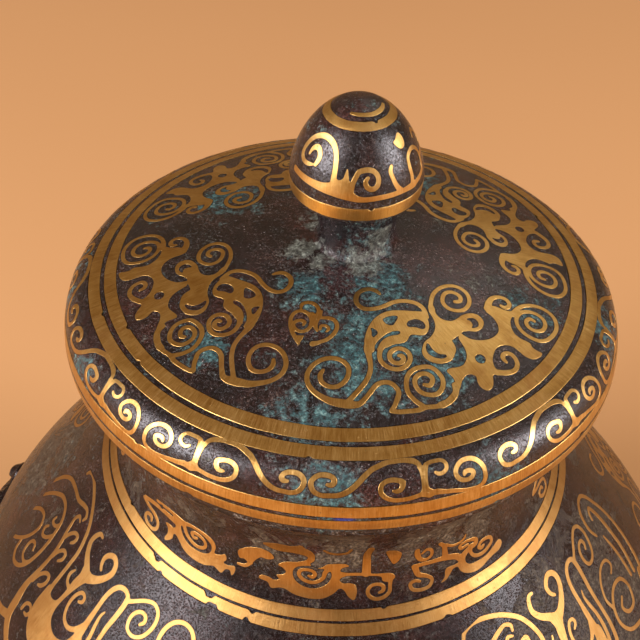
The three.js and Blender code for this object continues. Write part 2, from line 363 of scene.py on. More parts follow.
def build(parts, name, rise=0.045, sink=0.22, edge=0.022):
    """One object from (cut, place, mirrored) parts: closed plates, bevelled at the top edge, sunk into the metal."""
    V, Fc, smooth, base = [], [], [], 0
    for C, place, mirrored in parts:
        if C is None:
            continue
        vs, _, fs, orig = C["res"][0], C["res"][1], C["res"][2], C["res"][3]
        N = len(C["outer"])
        top2 = np.array([(v.x, v.y) for v in vs])
        if not C["good"]:
            print("plate with extra points:", name, len(top2), N)
        # output vertex -> input vertex
        toin = np.array([o[0] if len(o) else -1 for o in orig])
        src = np.vstack([C["ins"], C["inner"]]) if len(C["inner"]) else C["ins"]
        top = place(src[:, 0], src[:, 1], np.full(len(src), rise))
        mid = place(C["outer"][:, 0], C["outer"][:, 1], np.full(N, rise - edge))
        low = place(C["outer"][:, 0], C["outer"][:, 1], np.full(N, -sink))
        lowin = place(C["inner"][:, 0], C["inner"][:, 1], np.full(len(C["inner"]), -sink)) if len(C["inner"]) else np.zeros((0, 3))
        m = len(src)
        # the flat top keeps its own rim points, so that its shading stays flat up to the edge
        V += [top, top[:N], mid, low, lowin]
        r0, m0, l0, i0 = base + m, base + m + N, base + m + 2 * N, base + m + 3 * N
        flip = mirrored

        def put(f, soft=False):
            Fc.append(tuple(reversed(f)) if flip else tuple(f)); smooth.append(soft)
        for f in fs:
            g = [int(toin[i]) for i in f]
            if min(g) < 0:
                continue
            put([base + i for i in g], True)
            put([l0 + i if i < N else i0 + (i - N) for i in reversed(g)])
        k0 = 0
        for k in C["rings"]:
            for i in range(k):
                a, b = k0 + i, k0 + (i + 1) % k
                put([r0 + a, m0 + a, m0 + b, r0 + b])
                put([m0 + a, l0 + a, l0 + b, m0 + b])
            k0 += k
        base = i0 + len(lowin)
    verts = np.vstack(V) * 0.001
    me = bpy.data.meshes.new(name)
    me.from_pydata(verts.tolist(), [], Fc)
    me.polygons.foreach_set("use_smooth", smooth)
    ob = bpy.data.objects.new(name, me)
    bpy.context.scene.collection.objects.link(ob)
    return ob


# ---------------------------------------------------------------- lathes
def turned_mesh(name, rows, seg, centre=(0, 0), angle=25, turn=0.0, warp=None):
    """Closed solid of revolution; rows are (r, z) in mm from the lid datum, ordered round the section."""
    rows = np.array(rows, float)
    a = 2 * np.pi * (np.arange(seg) + turn) / seg
    V, idx = [], []
    n = 0
    for r, z in rows:
        if r < 1e-6:
            V.append(np.array([[centre[0], centre[1], z + LID]])); idx.append([n]); n += 1
        else:
            V.append(np.stack([r * np.cos(a) + centre[0], r * np.sin(a) + centre[1], np.full(seg, z + LID)], 1)); idx.append(list(range(n, n + seg))); n += seg
    V = np.vstack(V)
    if warp is not None:
        V = warp(V)
    faces = []
    pairs = list(zip(idx, idx[1:]))
    if not (rows[0][0] < 1e-6 and rows[-1][0] < 1e-6):
        pairs.append((idx[-1], idx[0]))
    for A, B in pairs:
        if len(A) == 1 and len(B) == 1:
            continue
        for k in range(seg):
            j = (k + 1) % seg
            if len(A) == 1:
                faces.append((A[0], B[k], B[j]))
            elif len(B) == 1:
                faces.append((A[k], B[0], A[j]))
            else:
                faces.append((A[k], B[k], B[j], A[j]))
    me = bpy.data.meshes.new(name)
    me.from_pydata((V * 0.001).tolist(), [], faces)
    me.validate()
    # faces outwards
    import bmesh
    bm = bmesh.new(); bm.from_mesh(me)
    bmesh.ops.recalc_face_normals(bm, faces=bm.faces)
    if bm.calc_volume(signed=True) < 0:
        bmesh.ops.reverse_faces(bm, faces=bm.faces)
    bm.to_mesh(me); bm.free()
    me.polygons.foreach_set("use_smooth", [True] * len(me.polygons))
    me.set_sharp_from_angle(angle=math.radians(angle))
    ob = bpy.data.objects.new(name, me)
    bpy.context.scene.collection.objects.link(ob)
    return ob


def dense(pts, step=0.8, bands=(), groove=0.13, deep=0.25):
    """Smooth fine profile through pts, with each band's stretch sunk into a shallow channel."""
    P = np.array(pts, float)
    L = np.concatenate([[0], np.cumsum(np.hypot(*np.diff(P, axis=0).T))])
    q = np.unique(np.concatenate([L] + [np.linspace(a, b, max(2, int(math.ceil((b - a) / step)) + 1)) for a, b in zip(L, L[1:])]))
    cut = []
    for i in bands:
        cut += [L[i] - groove, L[i] - groove + 0.02, L[i + 1] + groove - 0.02, L[i + 1] + groove]
    q = np.unique(np.round(np.concatenate([q, cut]), 4))
    q = q[(q >= 0) & (q <= L[-1])]
    r, z = pchip(L, P[:, 0], q), pchip(L, P[:, 1], q)
    e = 0.03
    ra, za = pchip(L, P[:, 0], np.clip(q - e, 0, L[-1])), pchip(L, P[:, 1], np.clip(q - e, 0, L[-1]))
    rb, zb = pchip(L, P[:, 0], np.clip(q + e, 0, L[-1])), pchip(L, P[:, 1], np.clip(q + e, 0, L[-1]))
    n = np.hypot(rb - ra, zb - za) + 1e-12
    nr, nz = -(zb - za) / n, (rb - ra) / n
    d = np.zeros_like(q)
    for i in bands:
        d = np.where((q > L[i] - groove + 0.01) & (q < L[i + 1] + groove - 0.01), deep, d)
    return list(zip(r - nr * d, z - nz * d))


def band(name, surf_pts, i, seg=720, rise=0.04, sink=0.2, centre=(0, 0), seed=0.0, wave=0.06, nicks=()):
    """A gold strip between profile points i and i+1 with hand-cut edges."""
    S = Turned(surf_pts, 1, centre)
    a0, b0 = S.L[i], S.L[i + 1]
    th = np.arange(seg) * 360.0 / seg
    t = np.radians(th)
    wa = wave * (np.sin(5 * t + seed) * 0.5 + np.sin(13 * t + 2.1 * seed) * 0.35 + np.sin(31 * t + 3.7 * seed) * 0.25)
    wb = wave * (np.sin(4 * t + 1.3 * seed + 1) * 0.5 + np.sin(11 * t + 2.9 * seed) * 0.35 + np.sin(37 * t + 1.9 * seed) * 0.25)
    for at, wide, deep in nicks:
        u = (th - (at + TURN) + 180) % 360 - 180
        cut = abs(deep) * np.clip(1.6 - np.abs(u) / wide * 1.6 + 0.25 * np.sin(9 * u), 0, 1)
        if deep > 0:
            wa = wa + cut
        else:
            wb = wb - cut
    m = 7
    rows = []
    for k in range(m):
        f = k / (m - 1)
        s = (a0 + wa) * (1 - f) + (b0 + wb) * f
        if k == 0:
            rows.append(S.at(th, s, np.full(seg, -sink))); rows.append(S.at(th, s, np.full(seg, rise - 0.03)))
            rows.append(S.at(th, s + 0.05, np.full(seg, rise)))
        elif k == m - 1:
            rows.append(S.at(th, s - 0.05, np.full(seg, rise))); rows.append(S.at(th, s, np.full(seg, rise - 0.03)))
            rows.append(S.at(th, s, np.full(seg, -sink)))
        else:
            rows.append(S.at(th, s, rise + 0.006 * np.sin(9 * t + k + seed) * np.sin(23 * t + 2 * k)))
    V = np.vstack(rows) * 0.001
    n = len(rows)
    faces = []
    for a in range(n):
        b = (a + 1) % n
        for k in range(seg):
            j = (k + 1) % seg
            faces.append((a * seg + k, b * seg + k, b * seg + j, a * seg + j))
    me = bpy.data.meshes.new(name)
    me.from_pydata(V.tolist(), [], faces)
    me.validate()
    me.polygons.foreach_set("use_smooth", [True] * len(me.polygons))
    me.set_sharp_from_angle(angle=math.radians(22))
    ob = bpy.data.objects.new(name, me)
    bpy.context.scene.collection.objects.link(ob)
    return ob


# ---------------------------------------------------------------- lid scrolls (plan coordinates, mm, seen from the photograph's side)
def cloud_motif():
    S = Sheet(-8, -46, 45, -9)
    # body C and its arm
    S.patch([(4.0, -30), (4.2, -27.5), (4.9, -25.3), (5.9, -23.6), (7.2, -22.3), (9, -21.4), (11, -21.1), (12.8, -21.0), (14.2, -20.9), (15.6, -21.0), (15.9, -22), (16.25, -23.2), (16.3, -24.5), (16.0, -25.6), (15.5, -26.3), (14.8, -26.65), (14, -26.7), (13, -26.7), (12.5, -27), (12.3, -27.6), (12, -28.2), (11.5, -28.7), (10.8, -29), (9.5, -29.4), (8.2, -30.2), (7.0, -30.6), (5.9, -31.2), (5.0, -31.6)])
    S.hole([(10.8, -26.3), (10.5, -27), (9.5, -27.3), (8.5, -27.7), (7.6, -28.4), (6.9, -29.4), (6.4, -30.6), (5.9, -31.4), (5.9, -30), (6.3, -29.2), (6.9, -28.3), (7.7, -27.5), (8.5, -26.8), (9.5, -26.3)])
    S.hole([(7.4, -23.7), (8.2, -23.0), (9.3, -22.6), (10.3, -22.6), (10.2, -23.4), (9.8, -24.2), (9.4, -24.9), (8.6, -25), (7.9, -24.6)])
    S.hole([(12, -24.2), (12.5, -23.4), (13.4, -22.95), (14.4, -22.95), (15.2, -23.4), (15.6, -24.2), (15.5, -24.9), (14.9, -25.2), (14.2, -25.0), (13.3, -24.9), (12.5, -25), (12.1, -24.8)])
    S.hole([(5.1, -25.9), (5.6, -26), (6.3, -26.5), (6.5, -27.1), (6.1, -27.7), (5.6, -28.2), (5.3, -27.7), (5.3, -26.8)])
    S.stroke([(6.9, -17.3, 0.6), (6.3, -16.7, 0.85), (5.2, -16.2, 0.95), (4.0, -16.4), (3.0, -17.1), (2.4, -18.2), (2.3, -19.4), (2.7, -20.5), (3.7, -21.3), (5.0, -21.4), (6.5, -21.0), (8, -20.2), (9.5, -19.2), (11, -18.7), (12.5, -18.6), (14, -18.9), (15, -19.6), (15.5, -20.5), (15.9, -22)])
    # left body with its loop, spiral S1 and hook H2
    S.patch([(16.3, -19.1), (16.5, -20.7), (17.2, -22.3), (17.5, -23.6), (17.3, -25.2), (16.5, -26.8), (15.4, -28), (14.9, -29.3), (14.8, -30.7), (15.4, -31.8), (16.5, -32.4), (17.9, -32.6), (19.2, -32.2), (20.4, -31.3), (21, -30), (21.3, -28.9), (21, -27.7), (20.6, -26.9), (21.2, -26.2), (22.2, -25.2), (22.8, -24.3), (22.5, -23.2), (22.4, -21.8), (22.9, -20.4), (22, -21.3), (21, -22.1), (19.8, -22.3), (18.6, -21.9), (17.8, -21), (17.5, -19.4), (16.9, -18.4)])
    S.hole([(15.9, -28.2), (15.5, -29.3), (15.9, -30.6), (17, -31.3), (18.5, -31.4), (19.5, -30.8), (19.3, -30.4), (18, -30.4), (16.9, -29.7), (16.4, -28.9)])
    S.stroke([(16.8, -20.5), (16.9, -18), (17.5, -15.8), (18.8, -14), (20.5, -13), (22.3, -12.9), (23.9, -13.9), (24.6, -15.6), (24.4, -17.3), (23.4, -18.8), (21.9, -19.4), (20.3, -19.1), (19.3, -17.9), (19.3, -16.3), (19.9, -15.1), (21, -14.6), (22.3, -15), (22.9, -15.9), (22.6, -16.8), (21.7, -17.1)], 0.85)
    S.patch([(22.5, -20.7), (23.8, -19.8), (25.2, -19.4), (26.5, -19.9), (27.1, -21), (26.9, -22.3), (26.2, -23.3), (25.2, -23.9), (24, -24), (22.8, -24.3), (22.2, -23.4), (22.2, -21.6)])
    S.hole([(23.6, -21.2), (24.4, -20.7), (25.4, -20.7), (26, -21.4), (26, -22.4), (25.3, -23), (24.6, -23.2), (24.9, -22.3), (24.4, -21.5)])
    # main body
    S.patch([(27.5, -17.2), (27.8, -18.3), (28.8, -19.2), (29.6, -20.3), (30, -21.5), (29.9, -22.9), (29.2, -24), (28.2, -24.9), (26.8, -25.6), (25.3, -25.9), (24, -25.8), (22.9, -25.2), (22.5, -25.0), (21.9, -26.0), (22.4, -27.1), (23.0, -28.3), (23.3, -29.6), (23.2, -30.6), (22.6, -32), (21.8, -32.6), (20.8, -33), (19.9, -33.3), (19.3, -33.9), (19.7, -34.4), (20.4, -35.1), (20.8, -35.9), (20.8, -36.6), (20.6, -37.4), (20.2, -38.3), (19.7, -39), (18.8, -40), (17.4, -40.9), (17.4, -41.8), (18.5, -41.7), (19.7, -40.8), (20.5, -39.7), (21.2, -38.4), (21.7, -37.1), (22, -36), (22.3, -35.2), (22.9, -34.3), (23.6, -33.9), (24.4, -33.9), (24.9, -34.2), (25, -35), (25.3, -35.9), (26, -36.6), (26.8, -36.8), (27.6, -36.3), (28, -35.5), (28.1, -34.5), (28.1, -33.4), (28.5, -32.9), (29.2, -32.4), (28.5, -31.2), (28.3, -29.7), (28.6, -28.3), (29.2, -27), (30.2, -26.1), (31.5, -25.7), (32.7, -25.9), (33.8, -26.7), (35, -27.6), (36.2, -27.8), (37.3, -27.3), (38.4, -25.9), (37.2, -25.4), (36.4, -24.8), (36.3, -24.2), (35.6, -23.8), (34.4, -23.4), (33.3, -22.6), (32.7, -21.3), (32.6, -19.5), (33.2, -17.9), (33.6, -16.9), (31.6, -16.9), (29.6, -16.4)])
    S.dot(25.9, -30.1, 1.05, True)
    S.stroke([(28.2, -17.4, 1.6), (28.6, -15.6, 1.3), (29.5, -14.2, 1.0), (30.9, -13.6, 0.9), (32.2, -13.9), (32.8, -14.9), (32.5, -15.8), (31.6, -16.2), (31.0, -15.9, 0.7)])
    S.stroke([(33.2, -17.6, 1.2), (34.5, -15.6, 0.95), (36, -14.4, 0.85), (38, -13.8), (40, -14.1), (41.6, -15.3), (42.2, -17), (42, -18.9), (41, -20.8), (39.6, -22.3), (38, -22.9), (36.3, -22.5), (34.9, -21.6), (34, -20.2), (33.9, -18.6), (34.5, -17.2), (35.5, -16.2), (36.9, -15.8), (38.5, -16.1), (39.6, -17.1), (39.8, -18.4), (39.2, -19.8), (38, -20.5), (36.7, -20.3), (35.9, -19.4), (36, -18.3), (36.8, -17.7), (37.6, -18, 0.7)], 0.85)
    S.stroke([(28.8, -32.5, 1.2), (31, -32.1, 1.1), (32.5, -31.2, 0.9), (33.1, -29.8), (32.8, -28.5), (31.8, -27.6), (30.7, -27.9), (30.3, -28.9), (30.9, -29.7, 0.7)])
    # long arm along the front, spiral S9 and the second stroke back to C
    S.stroke([(20.7, -36.7, 1.1), (20.9, -37.9, 1.15), (20.2, -39.5, 1.1), (18.8, -40.9, 1.0), (17, -41.6, 0.9), (15.2, -42), (13.8, -42.7), (12, -43.1), (10.2, -43.4), (9.0, -43.4, 0.8)])
    S.stroke([(8.9, -43.2, 0.7), (9.5, -42.3, 0.8), (10, -40.9, 0.9), (10.3, -39.5), (9.7, -38.4), (8.6, -37.7), (7.2, -37.8), (6.1, -38.5), (5.2, -39.8), (4.3, -41.1), (3.1, -42.4, 1.1), (1.8, -42.6, 1.5), (0, -42.4, 1.7), (-2.1, -42, 1.4), (-3.9, -41.1, 1.1), (-5.5, -39.8, 0.95), (-6.4, -38.2, 0.9), (-6.4, -36.4), (-5.5, -34.8), (-3.9, -33.6), (-2.1, -33.2), (-0.3, -33.6), (0.9, -34.8), (1.1, -36.4), (0.4, -38), (-1, -39.1), (-2.5, -39.1), (-3.8, -38.2), (-4.1, -36.8), (-3.6, -35.8, 0.7)])
    S.stroke([(1.1, -42, 1.0), (2, -40.9, 0.9), (3.1, -39.5), (4.3, -37.7), (5, -35.9), (5.1, -34.1), (4.8, -32.3, 1.1), (4.6, -30.9, 1.5), (4.7, -29.8, 1.5)])
    S.stroke([(15, -42, 1.0), (13.1, -40.7, 0.9), (12, -39.3), (11.7, -37.7), (12, -35.9), (13.1, -34.5), (14.7, -33.75), (16.3, -33.6), (17.7, -34.5), (18.5, -35.9), (18.4, -37.5), (17.5, -38.9), (16.1, -39.4), (14.5, -39.1), (13.5, -38), (13.3, -36.6), (14, -35.5), (15.4, -35.1), (16.5, -35.7), (16.5, -36.8), (15.9, -37.5), (15, -37.4, 0.7)], 0.85)
    S.stroke([(11.4, -27.4, 1.5), (10.6, -28.4, 1.2), (9, -28.9, 1.0), (7.5, -30.0, 0.9), (6.8, -31.6), (7.1, -33.4), (8.4, -34.5), (10, -34.8), (11.5, -34.1), (12.5, -32.5), (12.3, -31.1), (11.3, -30.3), (10, -30.3), (8.8, -31.3), (8.7, -32.5), (9.5, -33.4), (10.6, -33.4), (11.3, -32.5), (11, -31.8), (10.4, -31.8, 0.7)], 0.85)
    S.soften(0.9)
    return S.cut()


def trefoil():
    S = Sheet(-12, -33, 0.5, -18)
    S.stroke([(-8.2, -21.6, 0.5), (-8.1, -20.7, 0.7), (-7.2, -20.2, 0.75), (-6.2, -20.3), (-5.2, -21.1), (-4.8, -22.2), (-5.1, -23.4), (-5.9, -24.6), (-6.3, -25.5, 0.6)])
    S.patch([(-6.9, -22.8), (-5.6, -22.8), (-5.9, -24.5), (-6.5, -24)])
    S.stroke([(-8.3, -30.1, 0.5), (-8.9, -28.9, 0.8), (-9.7, -27.2, 0.8), (-10.1, -25.3, 0.75), (-9.9, -23.6), (-9.2, -22.6), (-8, -22.3), (-6.9, -22.9), (-6.2, -24.2), (-6.1, -25.6), (-6.8, -26.8), (-8, -27.3), (-9.2, -26.5), (-9.5, -25.3), (-8.9, -24.8), (-8.1, -24.6), (-7.4, -25.1), (-7.6, -25.8, 0.5)], 0.7)
    S.patch([(-9.2, -28.2), (-7.3, -28.2), (-8.3, -30.2)], False)
    S.stroke([(-4.2, -22.3, 0.4), (-4.6, -23.6, 0.8), (-5.2, -24.9, 0.9), (-5.3, -26.2, 0.8), (-4.9, -27.2, 0.4)])
    S.stroke([(-4.2, -24.0, 0.7), (-3, -24.0, 0.8), (-1.9, -24.4), (-1.3, -25.4), (-1.3, -26.6), (-2, -28), (-3.1, -29.1), (-4.4, -29.7), (-5.2, -30, 1.0), (-5.7, -30.1, 1.2)])
    S.stroke([(-4.4, -26.8, 0.5), (-4.2, -25.9, 0.6), (-3.3, -25.9), (-2.8, -26.6), (-3.2, -27.3, 0.45)])
    S.soften(0.8)
    return S.cut()


def spin(deg, mirror=None):
    """Plan transform: turn from the photograph's side into the object frame, then mirror about a line at an angle."""
    t = math.radians(deg)
    A = np.array([[math.cos(t), -math.sin(t)], [math.sin(t), math.cos(t)]])
    for m in (mirror or []):
        a = 2 * math.radians(m)
        A = np.array([[math.cos(a), math.sin(a)], [math.sin(a), -math.cos(a)]]) @ A
    return A


def on_plan(A, wob=0.0):
    def place(x, y, h):
        u = A[0, 0] * x + A[0, 1] * y; v = A[1, 0] * x + A[1, 1] * y
        if wob:
            u, v = u + 0.18 * np.sin(0.21 * v + wob) + 0.08 * np.sin(0.5 * u + 2 * wob), v + 0.18 * np.sin(0.19 * u + 1.7 * wob)
        return plan(u, v, h)
    return place


def lid_scrolls():
    C, T = cloud_motif(), trefoil()
    parts = [
        (C, on_plan(spin(TURN)), False),
        (C, on_plan(spin(TURN, [90]), 1.0), True),
        (C, on_plan(spin(TURN, [-2.7]), 2.3), True),
        (C, on_plan(spin(TURN, [90, 2.1]), 3.9), False),
        (T, on_plan(spin(TURN)), False),
        (T, on_plan(spin(TURN, [-14.3 + TURN]), 0.7), True),
    ]
    return build(parts, "lid_scroll_inlay"), seams(parts, "lid_scroll_seam")


# ---------------------------------------------------------------- rim frieze
def rim_unit():
    k = 0.977
    S = Sheet(-13, -0.6, 21.5, 9.4)
    def u(pts):
        return [((p[0] + 116.65) * k, *p[1:]) for p in pts]
    S.patch(u([(-117.6, 2.0), (-117.35, 3.2), (-117.35, 6.0), (-118.1, 6.6), (-117.9, 7.7), (-117.4, 8.0), (-116.4, 7.7), (-115.6, 7.4), (-115.5, 6.8), (-115.95, 6.2), (-115.95, 3.2), (-115.7, 2.0), (-116.2, 1.6), (-116.6, 2.1), (-117.1, 1.6)]), True)
    S.stroke(u([(-116.1, 2.4, 0.8), (-115.9, 1.6, 0.85), (-115, 0.9, 1.0), (-114, 0.6, 0.95), (-113, 0.45, 0.85), (-111.5, 0.4), (-110, 0.45, 0.9), (-109, 0.7, 1.0), (-108, 1.1), (-107.1, 1.5), (-105.9, 2.5), (-104.6, 3.9), (-103.3, 5.1, 0.95), (-102, 5.9), (-100.8, 6.3, 0.9), (-99.5, 6.4), (-98.2, 6.45), (-96.9, 5.9), (-96.3, 4.75), (-96.4, 3.9), (-97.2, 3.1), (-98.2, 2.8), (-99.5, 2.9), (-100.3, 3.4), (-100.4, 4.0), (-99.9, 4.45), (-99.2, 4.45, 0.65)]))
    S.stroke(u([(-116.2, 7.0, 1.0), (-115.6, 7.1, 0.85), (-114.05, 7.4), (-112.5, 7.5), (-111, 7.4), (-109.7, 6.9), (-108.8, 6.0), (-108.6, 5.1), (-108.9, 4.25), (-109.7, 3.75), (-110.7, 3.6), (-111.75, 3.8), (-112.6, 4.2, 1.0), (-112.6, 4.8, 1.0), (-112.2, 5.5, 0.9), (-111.5, 5.75, 0.8), (-110.85, 5.6, 0.5)]))
    S.stroke(u([(-116.9, 2.3, 0.7), (-117.1, 1.9), (-118, 1.6), (-119.2, 1.55), (-120.2, 1.6), (-121, 2.2), (-121.1, 3.1), (-120.4, 3.75), (-119.5, 3.9), (-118.8, 3.5, 0.55)]))
    S.stroke(u([(-117.2, 7.3, 1.3), (-118.65, 7.1, 1.15), (-120.2, 7.4, 0.95), (-121.7, 7.6, 0.85), (-123.3, 7.95), (-124.8, 8.2), (-126.3, 8.2), (-127.35, 7.9), (-128.1, 7.0), (-128.3, 5.9), (-128.2, 4.75), (-127.6, 3.6), (-126.6, 2.75), (-125.3, 2.4), (-124, 2.6), (-123, 3.4), (-122.6, 4.4), (-123, 5.4), (-123.9, 6.0), (-125.05, 6.05), (-125.9, 5.5), (-126, 4.9), (-125.3, 4.5), (-124.4, 4.6), (-124.2, 5.05, 0.6)]))
    S.soften(0.8)
    return S.cut()


def rim_frieze():
    U = rim_unit()
    units = [(-184, 1, 1.0), (-142, -1, 0.94), (-116.65, 1, 1.0), (-74.5, -1, 1.0), (-40, -1, 0.95), (-15, 1, 1.0)]
    kinds = [-1, 1, -1, 1, -1]
    for i, kd in enumerate(kinds):
        units.append((6.5 + 31.4 * (i + 0.5), kd, 0.937))
    parts = []
    for n, (bar, kind, sc) in enumerate(units):
        def place(x, y, h, bar=bar, kind=kind, sc=sc, n=n):
            th = bar + kind * x / 0.977 * sc + TURN
            return RIM.at(th + 0.25 * np.sin(0.35 * y + n), y + 0.10 * np.sin(0.3 * x + 1.7 * n), h)
        parts.append((U, place, kind > 0))
    return build(parts, "rim_scroll_inlay"), seams(parts, "rim_scroll_seam", 0.016)


# ---------------------------------------------------------------- knob ornament
def knob_inlay():
    k = 0.227
    S = Sheet(-195 * k, 2.2, 20 * k, 24)
    def u(pts):
        return [(p[0] * k, *p[1:]) for p in pts]
    # left teardrop loop and its curl
    S.stroke(u([(-112, 6.2, 1.2), (-112, 8, 1.15), (-112, 9.5, 1.1), (-112.5, 11, 1.1), (-115, 13, 1.15), (-120, 14.3, 1.2), (-128, 15, 1.2), (-137, 15.1, 1.2), (-146, 14.4, 1.2), (-152, 13.2, 1.2), (-155.5, 11.5, 1.15), (-155, 9.8, 1.05), (-151, 9.0, 1.0), (-146, 8.8, 0.9), (-140, 9, 0.75), (-136, 9.3, 0.4)]))
    S.stroke(u([(-133.5, 9.5, 0.8), (-131.5, 11, 1.15), (-134, 12.2, 1.2), (-139, 12.6, 1.15), (-143.5, 12, 1.0), (-145.5, 10.7, 0.6)]))
    # bottom sweep with its spike
    S.patch(u([(-160, 5.6), (-150, 5.4), (-130, 5.2), (-112, 4.9), (-100, 4.6), (-88, 4.3), (-70, 4.45), (-50, 4.5), (-30, 4.5), (-30, 5.5), (-50, 5.5), (-70, 5.5), (-86, 5.4), (-92, 5.9), (-94.5, 6.8), (-95.5, 7.5), (-97.5, 8.2), (-99.0, 9.4), (-100.5, 10.7), (-102.0, 9.6), (-103.6, 8.6), (-106.5, 8.2), (-109.5, 8.3), (-113, 7.6), (-117, 7.2), (-122, 6.9), (-135, 6.7), (-150, 6.6), (-160, 6.5)]), True)
    S.stroke(u([(-95.5, 6.8, 1.1), (-94.5, 7.9, 1.0), (-92, 9.2, 1.0), (-89.5, 10.1), (-85, 10.45), (-80, 10.5), (-75, 10.1), (-72, 9.2), (-71.5, 8.2), (-73.5, 7.2), (-78, 6.8), (-82, 7.3), (-83.3, 8.3, 0.9), (-81, 9.0, 0.7)]))
    # right side: rising stroke, oval and teardrop
    S.stroke(u([(-50, 5.2, 1.1), (-54, 6.3, 1.0), (-57.5, 8.2, 0.95), (-59, 9.7, 0.9), (-57, 10.4, 0.8)]))
    S.stroke(u([(-36, 5.4, 1.1), (-35, 6.8, 1.0), (-35.5, 9.0), (-34, 10.6, 0.95), (-27, 11.4, 0.9), (-19, 11.2), (-13, 9.8), (-12.5, 7.6), (-15, 6.0, 1.0), (-22, 5.4, 1.1), (-32, 5.0, 1.1)]))
    S.patch(u([(-43, 13.2), (-38.5, 12.7), (-33, 12.9), (-30, 13.9), (-30.5, 15.1), (-34, 15.7), (-39, 15.3), (-42.5, 14.8), (-47, 14.5)]), True)
    S.stroke(u([(-12, 8.6, 1.0), (-5, 8.8, 0.95), (2, 9.8, 0.9), (5, 11.4), (2, 13), (-5, 13.5), (-10, 12.6, 0.7)]))
    # second arc inside the crown
    S.stroke(u([(-115, 21.0, 0.6), (-90, 20.9, 0.9), (-60, 20.8, 1.0), (-30, 20.9, 1.0), (0, 21.1, 0.6)]))
    S.soften(0.8)
    C = S.cut(grid=0.9)
    # the hidden side repeats the teardrop loop, the sweep and the small spiral, half a turn on
    place = lambda x, y, h: KNOB.at(x / k + TURN, y, h)
    back = lambda x, y, h: KNOB.at(x / k + 180 + TURN, y, h)
    R = Sheet(-195 * k, 2.2, 20 * k, 24)
    R.stroke(u([(-112, 6.2, 1.2), (-112, 8, 1.15), (-112, 9.5, 1.1), (-112.5, 11, 1.1), (-115, 13, 1.15), (-120, 14.3, 1.2), (-128, 15, 1.2), (-137, 15.1, 1.2), (-146, 14.4, 1.2), (-152, 13.2, 1.2), (-155.5, 11.5, 1.15), (-155, 9.8, 1.05), (-151, 9.0, 1.0), (-146, 8.8, 0.9), (-140, 9, 0.75), (-136, 9.3, 0.4)]))
    R.stroke(u([(-133.5, 9.5, 0.8), (-131.5, 11, 1.15), (-134, 12.2, 1.2), (-139, 12.6, 1.15), (-143.5, 12, 1.0), (-145.5, 10.7, 0.6)]))
    R.stroke(u([(-158, 5.6, 0.6), (-140, 5.9, 1.2), (-112, 5.9, 1.6), (-95, 5.6, 1.6), (-80, 5.2, 1.2), (-60, 5.2, 0.6)]))
    R.stroke(u([(-95.5, 6.4, 1.1), (-94.5, 7.9, 1.0), (-92, 9.2, 1.0), (-89.5, 10.1), (-85, 10.45), (-80, 10.5), (-75, 10.1), (-72, 9.2), (-71.5, 8.2), (-73.5, 7.2), (-78, 6.8), (-82, 7.3), (-83.3, 8.3, 0.9)]))
    R.soften(0.8)
    parts = [(C, place, False), (R.cut(grid=0.9), back, False)]
    return build(parts, "knob_scroll_inlay"), seams(parts, "knob_scroll_seam", 0.016)


